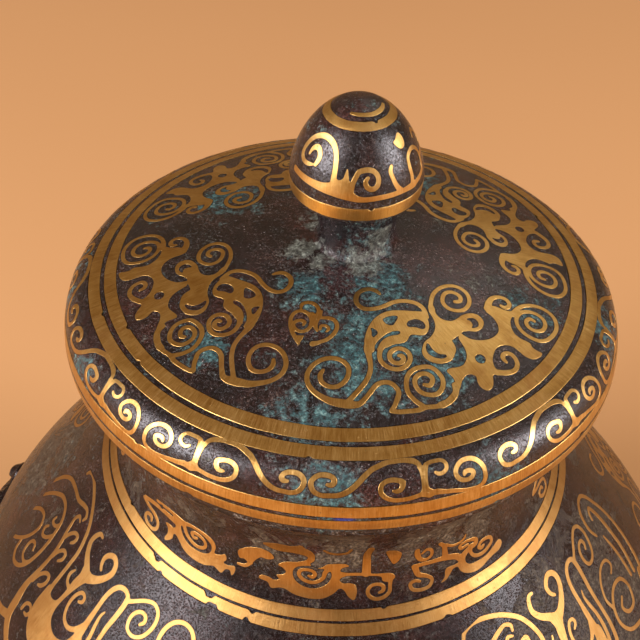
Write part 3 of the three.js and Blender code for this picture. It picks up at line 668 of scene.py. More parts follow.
# ---------------------------------------------------------------- neck frieze
def neck_scrolls():
    k = 0.873
    S = Sheet(-153 * k, 17.5, -36 * k, 34.7)
    def u(pts):
        return [(p[0] * k, *p[1:]) for p in pts]
    # left group
    S.patch(u([(-133.5, 26.5), (-131.5, 26.3), (-128, 25.6), (-124, 25.5), (-121, 26.2), (-120, 27.6), (-120.1, 29.2), (-118.5, 28.9), (-117.2, 28.2), (-116.6, 29.3), (-117.3, 30.3), (-116, 30.5), (-114.2, 30.0), (-113.9, 31.2), (-114.6, 32.4), (-115.2, 31.4), (-116.4, 31.6), (-117.3, 32.8), (-119.5, 32.2), (-122, 33.0), (-124.5, 33.25), (-127, 33.1), (-129, 32.6), (-130.5, 31.8), (-132.3, 31.0), (-133.0, 31.2), (-133, 32.4), (-134.9, 33.9), (-135.3, 33.4), (-134.9, 32.2), (-135.4, 31.0), (-136.6, 30.4), (-135.5, 29.9), (-133.6, 29.9), (-133.0, 29.0), (-134.4, 28.3), (-134.6, 27.2)]))
    S.hole(u([(-131.4, 28.0), (-130, 29.9), (-128, 30.8), (-126, 31.0), (-124, 30.85), (-122, 30.2), (-121.1, 29), (-121.4, 27.7), (-122.8, 26.9), (-125, 26.4), (-128, 26.5), (-129.9, 27.2), (-130.6, 27.6)]))
    S.stroke(u([(-131.2, 26.8, 1.0), (-130.2, 27.6, 1.1), (-129, 28.9, 0.95), (-127, 29.8, 0.8), (-125, 30), (-123.4, 29.4), (-122.9, 28.6), (-123.5, 27.7), (-125, 27.2), (-127, 27.3), (-127.6, 27.8), (-126.8, 28.4), (-125.8, 28.2, 0.6)]))
    S.stroke(u([(-146.5, 30.2, 0.9), (-142, 28.9, 1.0), (-138, 28.3, 1.1), (-133.5, 28.2, 1.2)]))
    S.stroke(u([(-141.5, 27.6, 0.7), (-137, 26.8, 0.9), (-133.5, 26.6, 1.0), (-131, 26.6, 1.0)]))
    S.stroke(u([(-147, 30.6, 0.7), (-144.5, 30.9, 0.8), (-141, 31.2, 0.85), (-138.9, 32.2), (-138.7, 33.5), (-140, 34.3), (-142.5, 34.2), (-143.9, 33.3), (-143.3, 32.5), (-141.8, 32.4), (-141.2, 33.1, 0.6)]))
    # scroll between left and centre
    S.patch(u([(-113.9, 25.8), (-112.4, 24.3), (-110.2, 23.2), (-107.5, 22.7), (-105.2, 23.4), (-104.5, 24.6), (-106, 25.3), (-107.8, 25.3), (-109, 26.4), (-110.4, 28.0), (-112.0, 27.2), (-113.2, 27.4)]))
    S.stroke(u([(-110.2, 27.6, 0.9), (-111.6, 28.8, 0.8), (-113.5, 29.0, 0.6)]))
    # centre group
    S.patch(u([(-103.4, 26.0), (-101.5, 24.8), (-98, 24.0), (-96.4, 23.1), (-96.2, 22.4), (-97.4, 21.9), (-100, 21.7), (-104, 21.9), (-107.4, 20.7), (-104, 19.4), (-100, 19.2), (-97.8, 18.3), (-97, 19.2), (-95.4, 20.2), (-94.6, 21.6), (-94.6, 23.2), (-95.6, 24.4), (-94.2, 25.2), (-92.8, 25.0), (-91.4, 24.0), (-89, 23.7), (-87, 23.8), (-86.2, 24.4), (-87.8, 24.9), (-88.3, 25.8), (-86.6, 26.2), (-84, 26.3), (-80, 26.9), (-75.6, 27.5), (-74.9, 28.6), (-76.3, 29.4), (-78, 29.0), (-78.3, 28.0), (-82, 27.3), (-87, 27.2), (-88.4, 28.1), (-87.6, 28.9), (-86, 28.9), (-84.6, 29.4), (-84.2, 31.2), (-84.9, 32.9), (-86.2, 32.1), (-87.2, 30.7), (-88.2, 30.2), (-89.6, 31.4), (-92, 32.6), (-95, 32.9), (-99, 32.4), (-101.2, 31.6), (-102.5, 31.6), (-104.5, 32.1), (-105.5, 31), (-107.8, 30.6), (-107.4, 29.8), (-105.2, 29.7), (-104, 30.1), (-102.8, 29.6), (-103.6, 28.8), (-102, 28.3), (-101.3, 27.5), (-102.0, 26.7)]))
    S.hole(u([(-90.3, 26.8), (-90.8, 28.6), (-92.5, 30), (-95, 30.55), (-97.6, 30), (-99.2, 28.8), (-99.7, 27.2), (-99, 25.8), (-97.4, 25.1), (-95.2, 24.9), (-93.4, 25.4), (-92.2, 25.4), (-91.0, 25.6)]))
    S.stroke(u([(-91.0, 25.2, 1.2), (-91.9, 26.4, 1.0), (-92.3, 27.8, 0.85), (-93.8, 28.9), (-95.5, 29.1), (-97.3, 28.5), (-98.2, 27.4), (-97.8, 26.4), (-96.5, 26), (-95, 26.2), (-94.3, 27), (-94.8, 27.8), (-95.8, 27.6, 0.6)]))
    S.stroke(u([(-81.3, 19.0, 1.5), (-82, 21, 1.6), (-82, 24, 1.8), (-82, 26.6, 1.9)]))
    S.patch(u([(-77.4, 20.6), (-75.2, 20.8), (-73.5, 22.2), (-74.0, 24.2), (-75.3, 25.0), (-76.4, 23.4)]))
    S.stroke(u([(-75.9, 28.4, 1.0), (-76.2, 30.2, 0.8), (-76.4, 31.8), (-77.8, 32.8), (-79.8, 33), (-81.3, 32.2), (-81.6, 30.9), (-80.6, 29.8), (-79, 29.7), (-77.9, 30.3), (-77.9, 31.3), (-78.9, 31.7, 0.6)]))
    S.stroke(u([(-92.4, 19.4, 0.6), (-91.0, 20.3, 0.7), (-88.8, 20.6, 0.7), (-86.8, 20.0, 0.7), (-86.0, 18.8, 0.6)]))
    # right group
    S.stroke(u([(-69.4, 22.6, 1.2), (-69.2, 24.2, 1.3), (-68.2, 25.6, 1.0), (-66.6, 25.9, 0.8), (-65.4, 25.0), (-65.6, 23.7), (-66.9, 23.1), (-68.0, 23.9, 0.6)]))
    S.stroke(u([(-63.2, 22.8, 0.9), (-62, 24.0, 1.1), (-61.7, 26, 1.4), (-61.5, 27.4, 1.6)]))
    S.stroke(u([(-61.4, 23.9, 0.8), (-59.5, 24.9, 0.7), (-57.5, 25), (-56, 24.4), (-55.6, 23.6, 0.5)]))
    S.stroke(u([(-70.2, 26.9, 1.0), (-66, 27.1, 1.0), (-62, 27.4, 1.3), (-58.4, 28.4, 1.5), (-57, 29.6, 1.6)]))
    S.stroke(u([(-69.8, 27.3, 1.5), (-69, 29.3, 1.2), (-67, 30.2, 0.9), (-65.6, 31.4, 0.8), (-66.4, 32.7), (-68.6, 33), (-70.8, 32.4), (-71.2, 31.1), (-70, 30.6), (-68.7, 31.1, 0.6)]))
    S.patch(u([(-62, 31), (-61.5, 30.2), (-59, 30.2), (-57.6, 29.9), (-57.4, 28.8), (-56, 27.9), (-54, 27.6), (-53.2, 28.4), (-54.6, 28.9), (-55.7, 29.6), (-55.9, 30.8), (-55, 31.8), (-52.5, 32.2), (-49.5, 32.2), (-46.8, 31.5), (-44.5, 30.9), (-43.8, 32), (-45, 33), (-47.5, 33.2), (-49.5, 33.5), (-51.5, 34), (-54, 34.1), (-56.5, 33.3), (-57.8, 32.2), (-58.3, 31.1), (-59.6, 31), (-60.6, 31.8), (-61.8, 32.7), (-63.5, 33), (-62.2, 32)]))
    S.stroke(u([(-54.8, 26.9, 0.7), (-57, 26.9, 0.8), (-57.3, 26.1), (-56, 25.7), (-54, 25.9, 0.9), (-52.3, 26.6, 1.1), (-52.2, 27.7, 1.2), (-54, 27.9, 1.5)]))
    S.stroke(u([(-53.9, 27.8, 1.0), (-54, 29.3, 0.85), (-53, 30.6), (-51, 31.2), (-48.6, 30.8), (-47, 29.8), (-47.4, 28.7), (-49, 28.2), (-50.7, 28.4), (-51.4, 29.2), (-50.5, 29.8, 0.9), (-49.8, 29.5, 0.7)]))
    S.soften(0.8)
    C = S.cut(grid=1.3)
    parts = [(C, (lambda x, y, h, o=o: NECK.at(x / k + o + TURN, y, h)), False) for o in (0, 120, 240)]
    return build(parts, "neck_scroll_inlay"), seams(parts, "neck_scroll_seam", 0.016)


# ---------------------------------------------------------------- shoulder clouds
CONE = 0.65
RHO0 = 55.2 / CONE


def cone(pts, mid=-140.0):
    out = []
    for p in pts:
        a = math.radians(p[0] - mid) * CONE
        rho = p[1] + RHO0
        out.append((rho * math.sin(a), -rho * math.cos(a) + RHO0, *p[2:]))
    return out


def cloud_unit():
    S = Sheet(-42, -56, 40, 0.5)
    c = cone
    S.stroke(c([(-169.5, 5.8, 0.8), (-168.8, 4.4, 1.0), (-166.5, 3.4, 1.1), (-163.5, 3.6), (-160.5, 4.5), (-158, 5.9), (-155.6, 8), (-153.9, 11), (-153.0, 14), (-152.8, 18), (-152.7, 22), (-152.6, 25, 1.3), (-152, 28, 2.0)]))
    S.stroke(c([(-176.5, 20.5, 1.0), (-174.8, 15.5, 1.1), (-172.3, 12.3), (-168.5, 10.4), (-164.3, 9.4), (-161.4, 7.8), (-159.6, 7.3, 0.9), (-158.3, 8.2), (-158.4, 9.4, 0.6)]))
    S.stroke(c([(-160.6, 12.6, 0.8), (-159.9, 15, 1.0), (-159.0, 17.5, 1.2), (-158.3, 21, 1.1), (-158.2, 25, 1.2), (-158.3, 29, 1.5), (-158.3, 33, 2.0), (-157.6, 37, 2.7), (-156.8, 41, 2.7), (-154, 44, 2.0), (-149, 46, 1.6), (-143, 46, 1.5), (-137, 44.5, 1.5), (-130, 41, 1.5), (-124, 38, 1.6), (-120.5, 33, 1.6)]))
    S.stroke(c([(-160.2, 13.8, 0.9), (-160.8, 11.6), (-160.0, 10.0), (-158.8, 10.4, 0.6)]))
    S.stroke(c([(-159.2, 17, 1.0), (-158.6, 14.5, 0.95), (-157.5, 12.7), (-156.2, 12.3), (-155.9, 13.7), (-156.6, 15.0, 0.6)]))
    S.stroke(c([(-158.1, 22, 1.0), (-157.6, 19.5, 0.95), (-156.5, 17.6), (-155.5, 17.5), (-155.2, 18.9), (-156.0, 20.5, 0.6)]))
    S.stroke(c([(-157.8, 30, 1.2), (-157.2, 27, 1.0), (-156.0, 24.9), (-154.9, 24.5), (-154.5, 25.9), (-155.1, 27.9), (-155.9, 28.7, 0.7)]))
    S.stroke(c([(-155.2, 36.0, 1.0), (-155.0, 34.0, 0.9), (-153.9, 32.9), (-152.9, 33.6), (-153.2, 35.2), (-154.0, 35.6, 0.7)]))
    # double spiral
    S.stroke(c([(-175.5, 26, 0.9), (-173.8, 21.5, 1.0), (-171.5, 17.7, 1.1), (-169, 15.2), (-166, 14.5), (-163.6, 16), (-162.4, 19), (-161.7, 23), (-161.7, 27.5), (-162.5, 32), (-164.1, 35), (-166, 36.2), (-167.9, 35.2), (-168.6, 33, 0.8)]))
    S.stroke(c([(-162.9, 17.4, 1.0), (-164, 19.1, 0.9), (-165.5, 19.5), (-165.6, 18.1, 0.6)]))
    S.stroke(c([(-162.3, 20.5, 0.9), (-163.5, 22.9, 0.95), (-165.0, 24.0), (-165.9, 22.9), (-165.4, 21.3, 0.6)]))
    S.stroke(c([(-174.6, 31, 0.8), (-173.0, 27, 1.0), (-171, 24.2), (-168.8, 23.2), (-167.3, 24.8), (-167.4, 28), (-168.4, 31.4), (-170.5, 35.5), (-173, 39, 1.2), (-172, 43, 1.4), (-166, 45, 1.6), (-160, 44, 2.0), (-157, 41.5, 2.2)]))
    S.stroke(c([(-161.9, 30.0, 1.0), (-163.3, 32.2, 0.95), (-165.2, 32.2), (-166.0, 30.2), (-165.6, 28.0), (-164.4, 27.2), (-163.6, 28.3, 0.7)]))
    # forked trunk with its hooks
    S.stroke(c([(-150.2, 5.7, 0.8), (-151.2, 5.7, 1.0), (-152.0, 7.0, 1.2), (-152.2, 8.9, 1.3), (-151.0, 11, 1.5), (-149.2, 12.6, 1.8), (-147.6, 14, 2.2)]))
    S.stroke(c([(-145.0, 10.2, 0.8), (-145.7, 9.4, 0.95), (-146.1, 7.8, 1.15), (-145.3, 6.3, 1.25), (-143.8, 5.6, 1.3), (-142.4, 6.5, 1.35), (-142.0, 8.4, 1.4), (-142.9, 10.6, 1.5), (-144.4, 12.6, 1.8), (-146.4, 14.3, 2.3)]))
    S.patch(c([(-149.2, 13.6), (-145.4, 13.2), (-146.7, 16.5), (-147.7, 20), (-148.3, 23.5), (-148.4, 26.5), (-147.8, 28.6), (-146.2, 29.8), (-144.8, 29.9), (-143.4, 29.2), (-142.2, 27.8), (-141.6, 25.9), (-141.3, 24.3), (-139.4, 24.3), (-139.3, 28), (-140.2, 32), (-142.5, 35.5), (-146, 37.5), (-149.5, 37.6), (-152, 35.5), (-153.4, 32), (-153.6, 28), (-153.3, 24.8), (-152.2, 25.6), (-150.8, 25.9), (-149.6, 25.0), (-149.2, 23), (-149.1, 20.5), (-149.2, 18.0), (-148.9, 15.5)]))
    S.stroke(c([(-149.0, 20.2, 1.1), (-150.4, 19.7, 0.9), (-151.0, 18.2, 0.9), (-150.5, 16.4, 0.5)]))
    S.stroke(c([(-144.9, 19.6, 0.7), (-144.1, 18.9, 0.85), (-144.2, 17.7), (-145.2, 17.4, 0.9), (-146.2, 18.8), (-146.6, 21), (-146.3, 23.4), (-145.3, 25.2, 1.0), (-143.8, 25.7, 1.1), (-142.4, 24.9, 1.2), (-141.4, 23.5, 1.3), (-140.7, 22, 1.4)]))
    S.stroke(c([(-140.4, 24.5, 1.9), (-140.4, 21, 1.6), (-140.3, 17, 1.2), (-140.1, 13, 1.15), (-139.4, 10.4), (-138.3, 8.9), (-136.7, 8.4), (-135.4, 9.1), (-135.2, 10.8, 1.3), (-135.5, 14, 1.25), (-136, 17.5, 1.15), (-136.2, 20.5, 1.1), (-136.3, 24), (-136.6, 28, 1.2), (-137.6, 32, 1.4), (-140.0, 35, 1.8)]))
    S.stroke(c([(-138.2, 15.6, 0.4), (-138.6, 17, 0.7), (-138.5, 19.5, 0.95), (-138.2, 22, 1.0), (-138.2, 25, 1.1), (-138.8, 29, 1.2), (-140.2, 32.5, 1.5)]))
    S.stroke(c([(-135.3, 10, 1.2), (-134.2, 9.2, 0.95), (-132.8, 8, 0.9), (-131, 6.7), (-129, 6.1), (-127.5, 7), (-126.9, 9), (-127.3, 11.5), (-128.5, 13.8), (-130.3, 14.9), (-131.9, 14.4), (-132.5, 12.5), (-132.1, 10.6), (-130.9, 9.4), (-129.6, 9.5), (-129.2, 10.7), (-129.9, 11.8, 0.7)]))
    S.stroke(c([(-124.2, 14.5, 0.7), (-124.8, 12.2, 0.9), (-124.7, 10.2, 1.0), (-124.1, 8.2), (-122.9, 6.6), (-121, 5.8), (-119, 6.4), (-117.7, 8.3), (-116.9, 11), (-116.2, 14.5), (-115.9, 18.5), (-116.2, 23, 1.1), (-117.2, 28, 1.2), (-119, 33, 1.4), (-122, 37, 1.6)]))
    S.stroke(c([(-121.6, 12.0, 0.7), (-120.9, 10.4, 0.9), (-119.8, 10.0, 1.0), (-119.2, 12.0, 1.1), (-119.0, 15.5, 1.2), (-119.3, 20, 1.2), (-120.2, 26, 1.2), (-121.8, 31, 1.3)]))
    S.stroke(c([(-122.4, 17, 0.6), (-122.3, 20.5, 0.9), (-122.6, 25, 1.0), (-123.4, 30, 1.1)]))
    S.stroke(c([(-126, 38.6, 1.3), (-129.5, 37, 1.1), (-133, 34.5, 1.0), (-134.3, 30.5), (-133.2, 26.5), (-130.2, 24.5), (-127, 26), (-126.2, 29.8), (-128, 32.8), (-130.6, 32.0), (-131.4, 29.5), (-129.8, 28.2, 0.7)]))
    S.stroke(c([(-133.5, 27.0, 0.9), (-134.0, 23.5, 0.8), (-132.4, 20.0), (-129.6, 18.4), (-127, 19.4), (-126.6, 21.6), (-128.2, 22.4, 0.6)]))
    S.soften(0.8)
    return S.cut(grid=1.9, step=0.3)


def on_cone(off, surf=None, sx=1.0, s0=0.0, mirror=1, mid=-140.0):
    surf = surf or SHOULDER
    def place(x, y, h):
        x = x * mirror * sx; yy = (RHO0 - y * sx)
        rho = np.hypot(x, yy)
        a = np.arctan2(x, yy) / CONE
        return surf.at(np.degrees(a) + mid + off + TURN, rho - RHO0 + s0, h)
    return place


def shoulder_scrolls(fill):
    U = cloud_unit()
    parts = [(U, on_cone(o), True) for o in (0, 107.5, 233.5)]
    # between them, the lid's cloud in a looser size
    for o, sc in ((-93.0, 1.0), (18.6, 1.15), (146.0, 1.15)):
        def place(x, y, h, o=o, sc=sc):
            s = -(y + 9) * sc + 6
            r = 55.2 + CONE * s
            return SHOULDER.at(o + np.degrees((x - 18.5) * sc / r) + TURN, s, h)
        parts.append((fill, place, True))
    return build(parts, "shoulder_scroll_inlay"), seams(parts, "shoulder_scroll_seam", 0.016)


def rows_below(rimcut, fill):
    """Scroll frieze above the belly strips, and clouds between belly and foot."""
    parts = []
    # five units on each side, clear of the mask lugs
    for i in range(10):
        kind = 1 if i % 2 else -1
        mid = 25.4 + 32.3 * (i % 5) + (180 if i > 4 else 0)
        def place(x, y, h, mid=mid, kind=kind):
            s = 61.5 + (y + 0.3) * 2.05
            return SHOULDER.at(mid + kind * (x - 4.3) * 0.86, s, h)
        parts.append((rimcut, place, kind > 0))
    a = build(parts, "belly_scroll_inlay")
    parts = []
    for i in range(6):
        kind = 1 if i % 2 else -1
        def place(x, y, h, i=i, kind=kind):
            s = -(y + 9) * 1.05 + 7.5
            return LOWER.at(i * 60 + kind * (x - 18.5) * 0.98 + TURN, s, h)
        parts.append((fill, place, kind > 0))
    b = build(parts, "lower_belly_scroll_inlay")
    return a, b


# ---------------------------------------------------------------- materials
class Mat:
    def __init__(self, name):
        self.m = bpy.data.materials.new(name); self.m.use_nodes = True
        self.t = self.m.node_tree; self.b = self.t.nodes["Principled BSDF"]
        self.co = self.new("ShaderNodeTexCoord").outputs["Object"]

    def new(self, kind, **kw):
        n = self.t.nodes.new(kind)
        for k, v in kw.items():
            setattr(n, k, v)
        return n

    def put(self, sock, v):
        if hasattr(v, "is_output"):
            self.t.links.new(v, sock)
        elif isinstance(v, tuple) and len(v) == 3 and sock.type == "RGBA":
            sock.default_value = (*v, 1)
        else:
            sock.default_value = v

    def noise(self, scale, detail=4, rough=0.55, distort=0.0, vec=None, offset=None):
        n = self.new("ShaderNodeTexNoise")
        for k, v in (("Scale", scale), ("Detail", detail), ("Roughness", rough), ("Distortion", distort)):
            n.inputs[k].default_value = v
        v = vec if vec is not None else self.co
        if offset:
            mp = self.new("ShaderNodeMapping"); mp.inputs["Location"].default_value = offset
            self.t.links.new(v, mp.inputs["Vector"]); v = mp.outputs[0]
        self.t.links.new(v, n.inputs["Vector"])
        return n.outputs["Fac"]

    def ramp(self, src, stops, interp="LINEAR"):
        r = self.new("ShaderNodeValToRGB"); self.t.links.new(src, r.inputs["Fac"])
        r.color_ramp.interpolation = interp
        e = r.color_ramp.elements
        while len(e) < len(stops):
            e.new(0.5)
        for el, (p, c) in zip(e, stops):
            el.position = p
            el.color = (c, c, c, 1) if isinstance(c, (int, float)) else (*c, 1)
        return r.outputs["Color"]

    def mix(self, fac, a, b, mode="MIX"):
        n = self.new("ShaderNodeMix", data_type="RGBA", blend_type=mode)
        self.put(n.inputs["Factor"], fac); self.put(n.inputs["A"], a); self.put(n.inputs["B"], b)
        return n.outputs["Result"]

    def math(self, op, a, b=0.0, clamp=False):
        n = self.new("ShaderNodeMath", operation=op); n.use_clamp = clamp
        self.put(n.inputs[0], a); self.put(n.inputs[1], b)
        return n.outputs[0]

    def span(self, v, lo, hi):
        n = self.new("ShaderNodeMapRange"); n.interpolation_type = "SMOOTHSTEP"
        self.put(n.inputs["Value"], v); n.inputs["From Min"].default_value = lo; n.inputs["From Max"].default_value = hi
        return n.outputs[0]

    def bump(self, height, strength, dist):
        n = self.new("ShaderNodeBump"); n.inputs["Strength"].default_value = strength; n.inputs["Distance"].default_value = dist
        self.t.links.new(height, n.inputs["Height"])
        self.t.links.new(n.outputs["Normal"], self.b.inputs["Normal"])

    def polar(self, per_radian, per_metre):
        """Coordinates that run round the axis, across it and up, in cycles of fine scratching."""
        sep = self.new("ShaderNodeSeparateXYZ"); self.t.links.new(self.co, sep.inputs[0])
        ang = self.math("ARCTAN2", sep.outputs[1], sep.outputs[0])
        r = self.math("SQRT", self.math("ADD", self.math("MULTIPLY", sep.outputs[0], sep.outputs[0]), self.math("MULTIPLY", sep.outputs[1], sep.outputs[1])))
        c = self.new("ShaderNodeCombineXYZ")
        self.put(c.inputs[0], self.math("MULTIPLY", ang, per_radian)); self.put(c.inputs[1], self.math("MULTIPLY", r, per_metre)); self.put(c.inputs[2], self.math("MULTIPLY", sep.outputs[2], per_metre))
        return c.outputs[0]


def near(M, spots, blur=None):
    """A soft mask round given points (mm, object frame) of given radii."""
    out = None
    for (x, y, z), r in spots:
        d = M.new("ShaderNodeVectorMath", operation="DISTANCE")
        M.t.links.new(M.co, d.inputs[0]); d.inputs[1].default_value = (x * 0.001, y * 0.001, (z + LID) * 0.001)
        m = M.span(d.outputs["Value"], r * 0.001, r * 0.0003)
        out = m if out is None else M.math("MAXIMUM", out, m)
    return out


def at_photo(th, r, z):
    a = math.radians(th + TURN)
    return (r * math.cos(a), r * math.sin(a), z)


def bronze_material():
    M = Mat("patinated_bronze")
    z = M.new("ShaderNodeSeparateXYZ"); M.t.links.new(M.co, z.inputs[0]); z = z.outputs[2]
    below = M.span(z, (LID - 12) * 0.001, (LID - 30) * 0.001)
    big = M.noise(24, 5, 0.6, 0.4)
    mid = M.noise(120, 9, 0.72, 0.35)
    fine = M.noise(620, 8, 0.8, 0.15)
    grain = M.noise(1700, 5, 0.75, 0.0, offset=(0.4, 0.9, 0.2))
    base = M.ramp(mid, [(0.30, (0.0028, 0.0020, 0.0032)), (0.46, (0.0075, 0.0046, 0.0060)), (0.57, (0.017, 0.009, 0.0095)), (0.72, (0.034, 0.018, 0.016))])
    brown = M.ramp(mid, [(0.30, (0.0030, 0.0020, 0.0026)), (0.48, (0.0105, 0.0058, 0.0062)), (0.60, (0.033, 0.0125, 0.0112)), (0.75, (0.075, 0.038, 0.025))])
    base = M.mix(M.math("MULTIPLY", below, 0.75), base, brown)
    red = M.ramp(mid, [(0.35, (0.009, 0.003, 0.0035)), (0.65, (0.042, 0.012, 0.011))])
    wine = near(M, [(at_photo(-150, 9, 36), 8), (at_photo(-60, 6, 40), 5), (at_photo(-75, 14, 9), 7), (at_photo(-158, 60, -55), 16), (at_photo(-118, 62, -58), 14), (at_photo(-178, 46, 2), 9)])
    redness = M.math("ADD", M.noise(42, 5, 0.65, 0.3, offset=(3.1, 0.7, 1.9)), M.math("MULTIPLY", wine, 0.09))
    base = M.mix(M.math("MULTIPLY", M.span(redness, 0.475, 0.60), 0.85), base, red)
    # grey and blue-grey flecks everywhere, the ground between them dark
    fleck = M.math("MULTIPLY", M.span(grain, 0.53, 0.635), M.span(M.noise(75, 6, 0.7, 0.5, offset=(2.2, 1.4, 0.6)), 0.40, 0.60))
    base = M.mix(M.math("MULTIPLY", fleck, 0.60), base, M.ramp(mid, [(0.38, (0.060, 0.090, 0.098)), (0.50, (0.085, 0.080, 0.074)), (0.62, (0.120, 0.095, 0.080))]))
    # teal bloom, thick where the lid was handled less
    where = near(M, [(at_photo(-86, 32, 7), 19), (at_photo(-60, 38, 6), 13), (at_photo(-100, 46, 3), 12), (at_photo(-62, 13, 12), 13), (at_photo(-20, 41, 5), 11), (at_photo(-118, 20, 9), 8), (at_photo(-131, 40, 5), 8),
                     (at_photo(-92, 58, -6), 13), (at_photo(-60, 58, -6), 12), (at_photo(-15, 57, -6), 12), (at_photo(-150, 57, -5), 9), (at_photo(-178, 57, -5), 11), (at_photo(60, 30, 6), 14), (at_photo(150, 30, 6), 12), (at_photo(100, 57, -6), 16)])
    tn = M.noise(135, 9, 0.78, 0.3, offset=(0.31, 1.7, 0.4))
    thr = M.math("ADD", M.math("MULTIPLY", tn, 0.60), M.math("MULTIPLY", fine, 0.40))
    thr = M.math("ADD", thr, M.math("MULTIPLY", where, 0.105))
    thr = M.math("ADD", thr, M.math("MULTIPLY", M.math("SUBTRACT", big, 0.5), 0.20))
    thr = M.math("SUBTRACT", thr, M.math("MULTIPLY", below, 0.035))
    teal_mask = M.span(thr, 0.56, 0.65)
    teal = M.ramp(fine, [(0.36, (0.0022, 0.0085, 0.0110)), (0.47, (0.0105, 0.044, 0.051)), (0.56, (0.042, 0.118, 0.124)), (0.66, (0.17, 0.275, 0.255)), (0.78, (0.42, 0.53, 0.47))])
    base = M.mix(teal_mask, base, teal)
    # grey crust and pale specks
    rough_n = M.noise(260, 9, 0.82, 0.3, offset=(1.3, 0.2, 2.4))
    cwhere = near(M, [(at_photo(-75, 10.5, 10), 9), (at_photo(-150, 10.5, 11), 6.5), (at_photo(-110, 10.5, 9), 6), (at_photo(-45, 9.5, 13), 6), (at_photo(20, 26, 8), 13), (at_photo(-20, 30, 7), 12), (at_photo(-115, 57, -4), 8), (at_photo(-95, 49, 0), 7), (at_photo(-170, 30, 7), 9)])
    ct = M.math("ADD", rough_n, M.math("MULTIPLY", M.math("SUBTRACT", big, 0.5), 0.22))
    ct = M.math("ADD", ct, M.math("ADD", M.math("MULTIPLY", cwhere, 0.085), M.math("MULTIPLY", below, 0.02)))
    collar = near(M, [(at_photo(-150, 9.5, 11), 5), (at_photo(-120, 9.5, 10), 4), (at_photo(-40, 9, 12.5), 6), (at_photo(-65, 9.5, 10), 5), (at_photo(60, 9, 10), 6), (at_photo(140, 9, 10), 6)])
    ct = M.math("ADD", ct, M.math("MULTIPLY", collar, 0.14))
    crust = M.span(ct, 0.600, 0.69)
    # the belly and neck carry a thin mottled crust, thickest on the photograph's right and far left
    side = near(M, [(at_photo(-30, 76, -72), 48), (at_photo(-62, 72, -74), 20), (at_photo(170, 74, -70), 22), (at_photo(-95, 50, -30), 20), (at_photo(-60, 50, -28), 22), (at_photo(60, 74, -70), 50), (at_photo(120, 74, -70), 40)])
    mt = M.math("ADD", M.noise(95, 10, 0.80, 0.6, offset=(4.1, 0.2, 1.7)), M.math("MULTIPLY", M.math("SUBTRACT", side, 0.6), 0.13))
    mottle = M.math("MULTIPLY", M.span(mt, 0.475, 0.555), below)
    base = M.mix(M.math("MULTIPLY", mottle, 0.80), base, M.ramp(fine, [(0.34, (0.022, 0.016, 0.012)), (0.46, (0.060, 0.045, 0.030)), (0.56, (0.130, 0.108, 0.070)), (0.68, (0.32, 0.285, 0.21))]))
    base = M.mix(M.math("MULTIPLY", crust, 0.85), base, M.ramp(fine, [(0.38, (0.026, 0.027, 0.021)), (0.52, (0.120, 0.134, 0.110)), (0.66, (0.38, 0.43, 0.37))]))
    # pale specks on the mouth lip band: a painted highlight
    lipz = M.math("MULTIPLY", M.span(z, (LID - 12.4) * 0.001, (LID - 13.2) * 0.001), M.span(z, (LID - 17.5) * 0.001, (LID - 16.0) * 0.001))
    lip_highlight_specks = M.math("MULTIPLY", M.span(M.noise(520, 8, 0.8, 0.4, offset=(1.9, 0.6, 0.2)), 0.52, 0.60), lipz)
    base = M.mix(M.math("MULTIPLY", lip_highlight_specks, 0.8), base, M.ramp(fine, [(0.38, (0.05, 0.045, 0.04)), (0.56, (0.26, 0.235, 0.20)), (0.70, (0.55, 0.52, 0.47))]))
    speck = M.span(M.noise(1900, 3, 0.6, 0.0, offset=(0.9, 2.2, 0.1)), 0.675, 0.72)
    base = M.mix(M.math("MULTIPLY", speck, 0.6), base, (0.46, 0.44, 0.44))
    pit = M.ramp(grain, [(0.38, 0.12), (0.49, 0.9), (0.60, 1.6)])
    base = M.mix(1.0, base, pit, "MULTIPLY")
    blue = near(M, [(at_photo(-89, 58.8, -9.0), 2.6)])
    base = M.mix(M.math("MULTIPLY", blue, 0.9), base, (0.015, 0.035, 0.22))
    # the shoulder and belly are darkened towards near black: painted shade; their specular level is lowered as well
    shoulder_painted_shade = M.span(z, (LID - 34) * 0.001, (LID - 47) * 0.001)
    base = M.mix(M.math("MULTIPLY", shoulder_painted_shade, 0.42), base, (0.007, 0.0032, 0.0030))
    M.put(M.b.inputs["Specular IOR Level"], M.math("SUBTRACT", 0.5, M.math("MULTIPLY", shoulder_painted_shade, 0.27)))
    M.put(M.b.inputs["Base Color"], base)
    M.b.inputs["Metallic"].default_value = 0.0
    M.b.inputs["IOR"].default_value = 1.52
    rough = M.math("ADD", 0.21, M.math("MULTIPLY", M.math("ADD", M.math("MULTIPLY", M.math("MAXIMUM", teal_mask, mottle), 0.5), M.math("MULTIPLY", crust, 0.6)), 0.55))
    rough = M.math("ADD", rough, M.math("MULTIPLY", M.math("SUBTRACT", fine, 0.5), 0.50), True)
    M.put(M.b.inputs["Roughness"], rough)
    h = M.math("ADD", M.math("MULTIPLY", fine, 0.8), M.math("MULTIPLY", grain, 0.55))
    h = M.math("ADD", h, M.math("MULTIPLY", M.math("ADD", crust, M.math("MAXIMUM", teal_mask, mottle)), 0.45))
    h = M.math("ADD", h, M.math("MULTIPLY", mid, 1.2))
    h = M.math("SUBTRACT", h, M.math("MULTIPLY", M.span(M.noise(2500, 4, 0.7, 0.0, offset=(0.2, 0.5, 3.1)), 0.53, 0.63), 1.1))
    M.bump(h, 1.0, 0.00007)
    return M.m


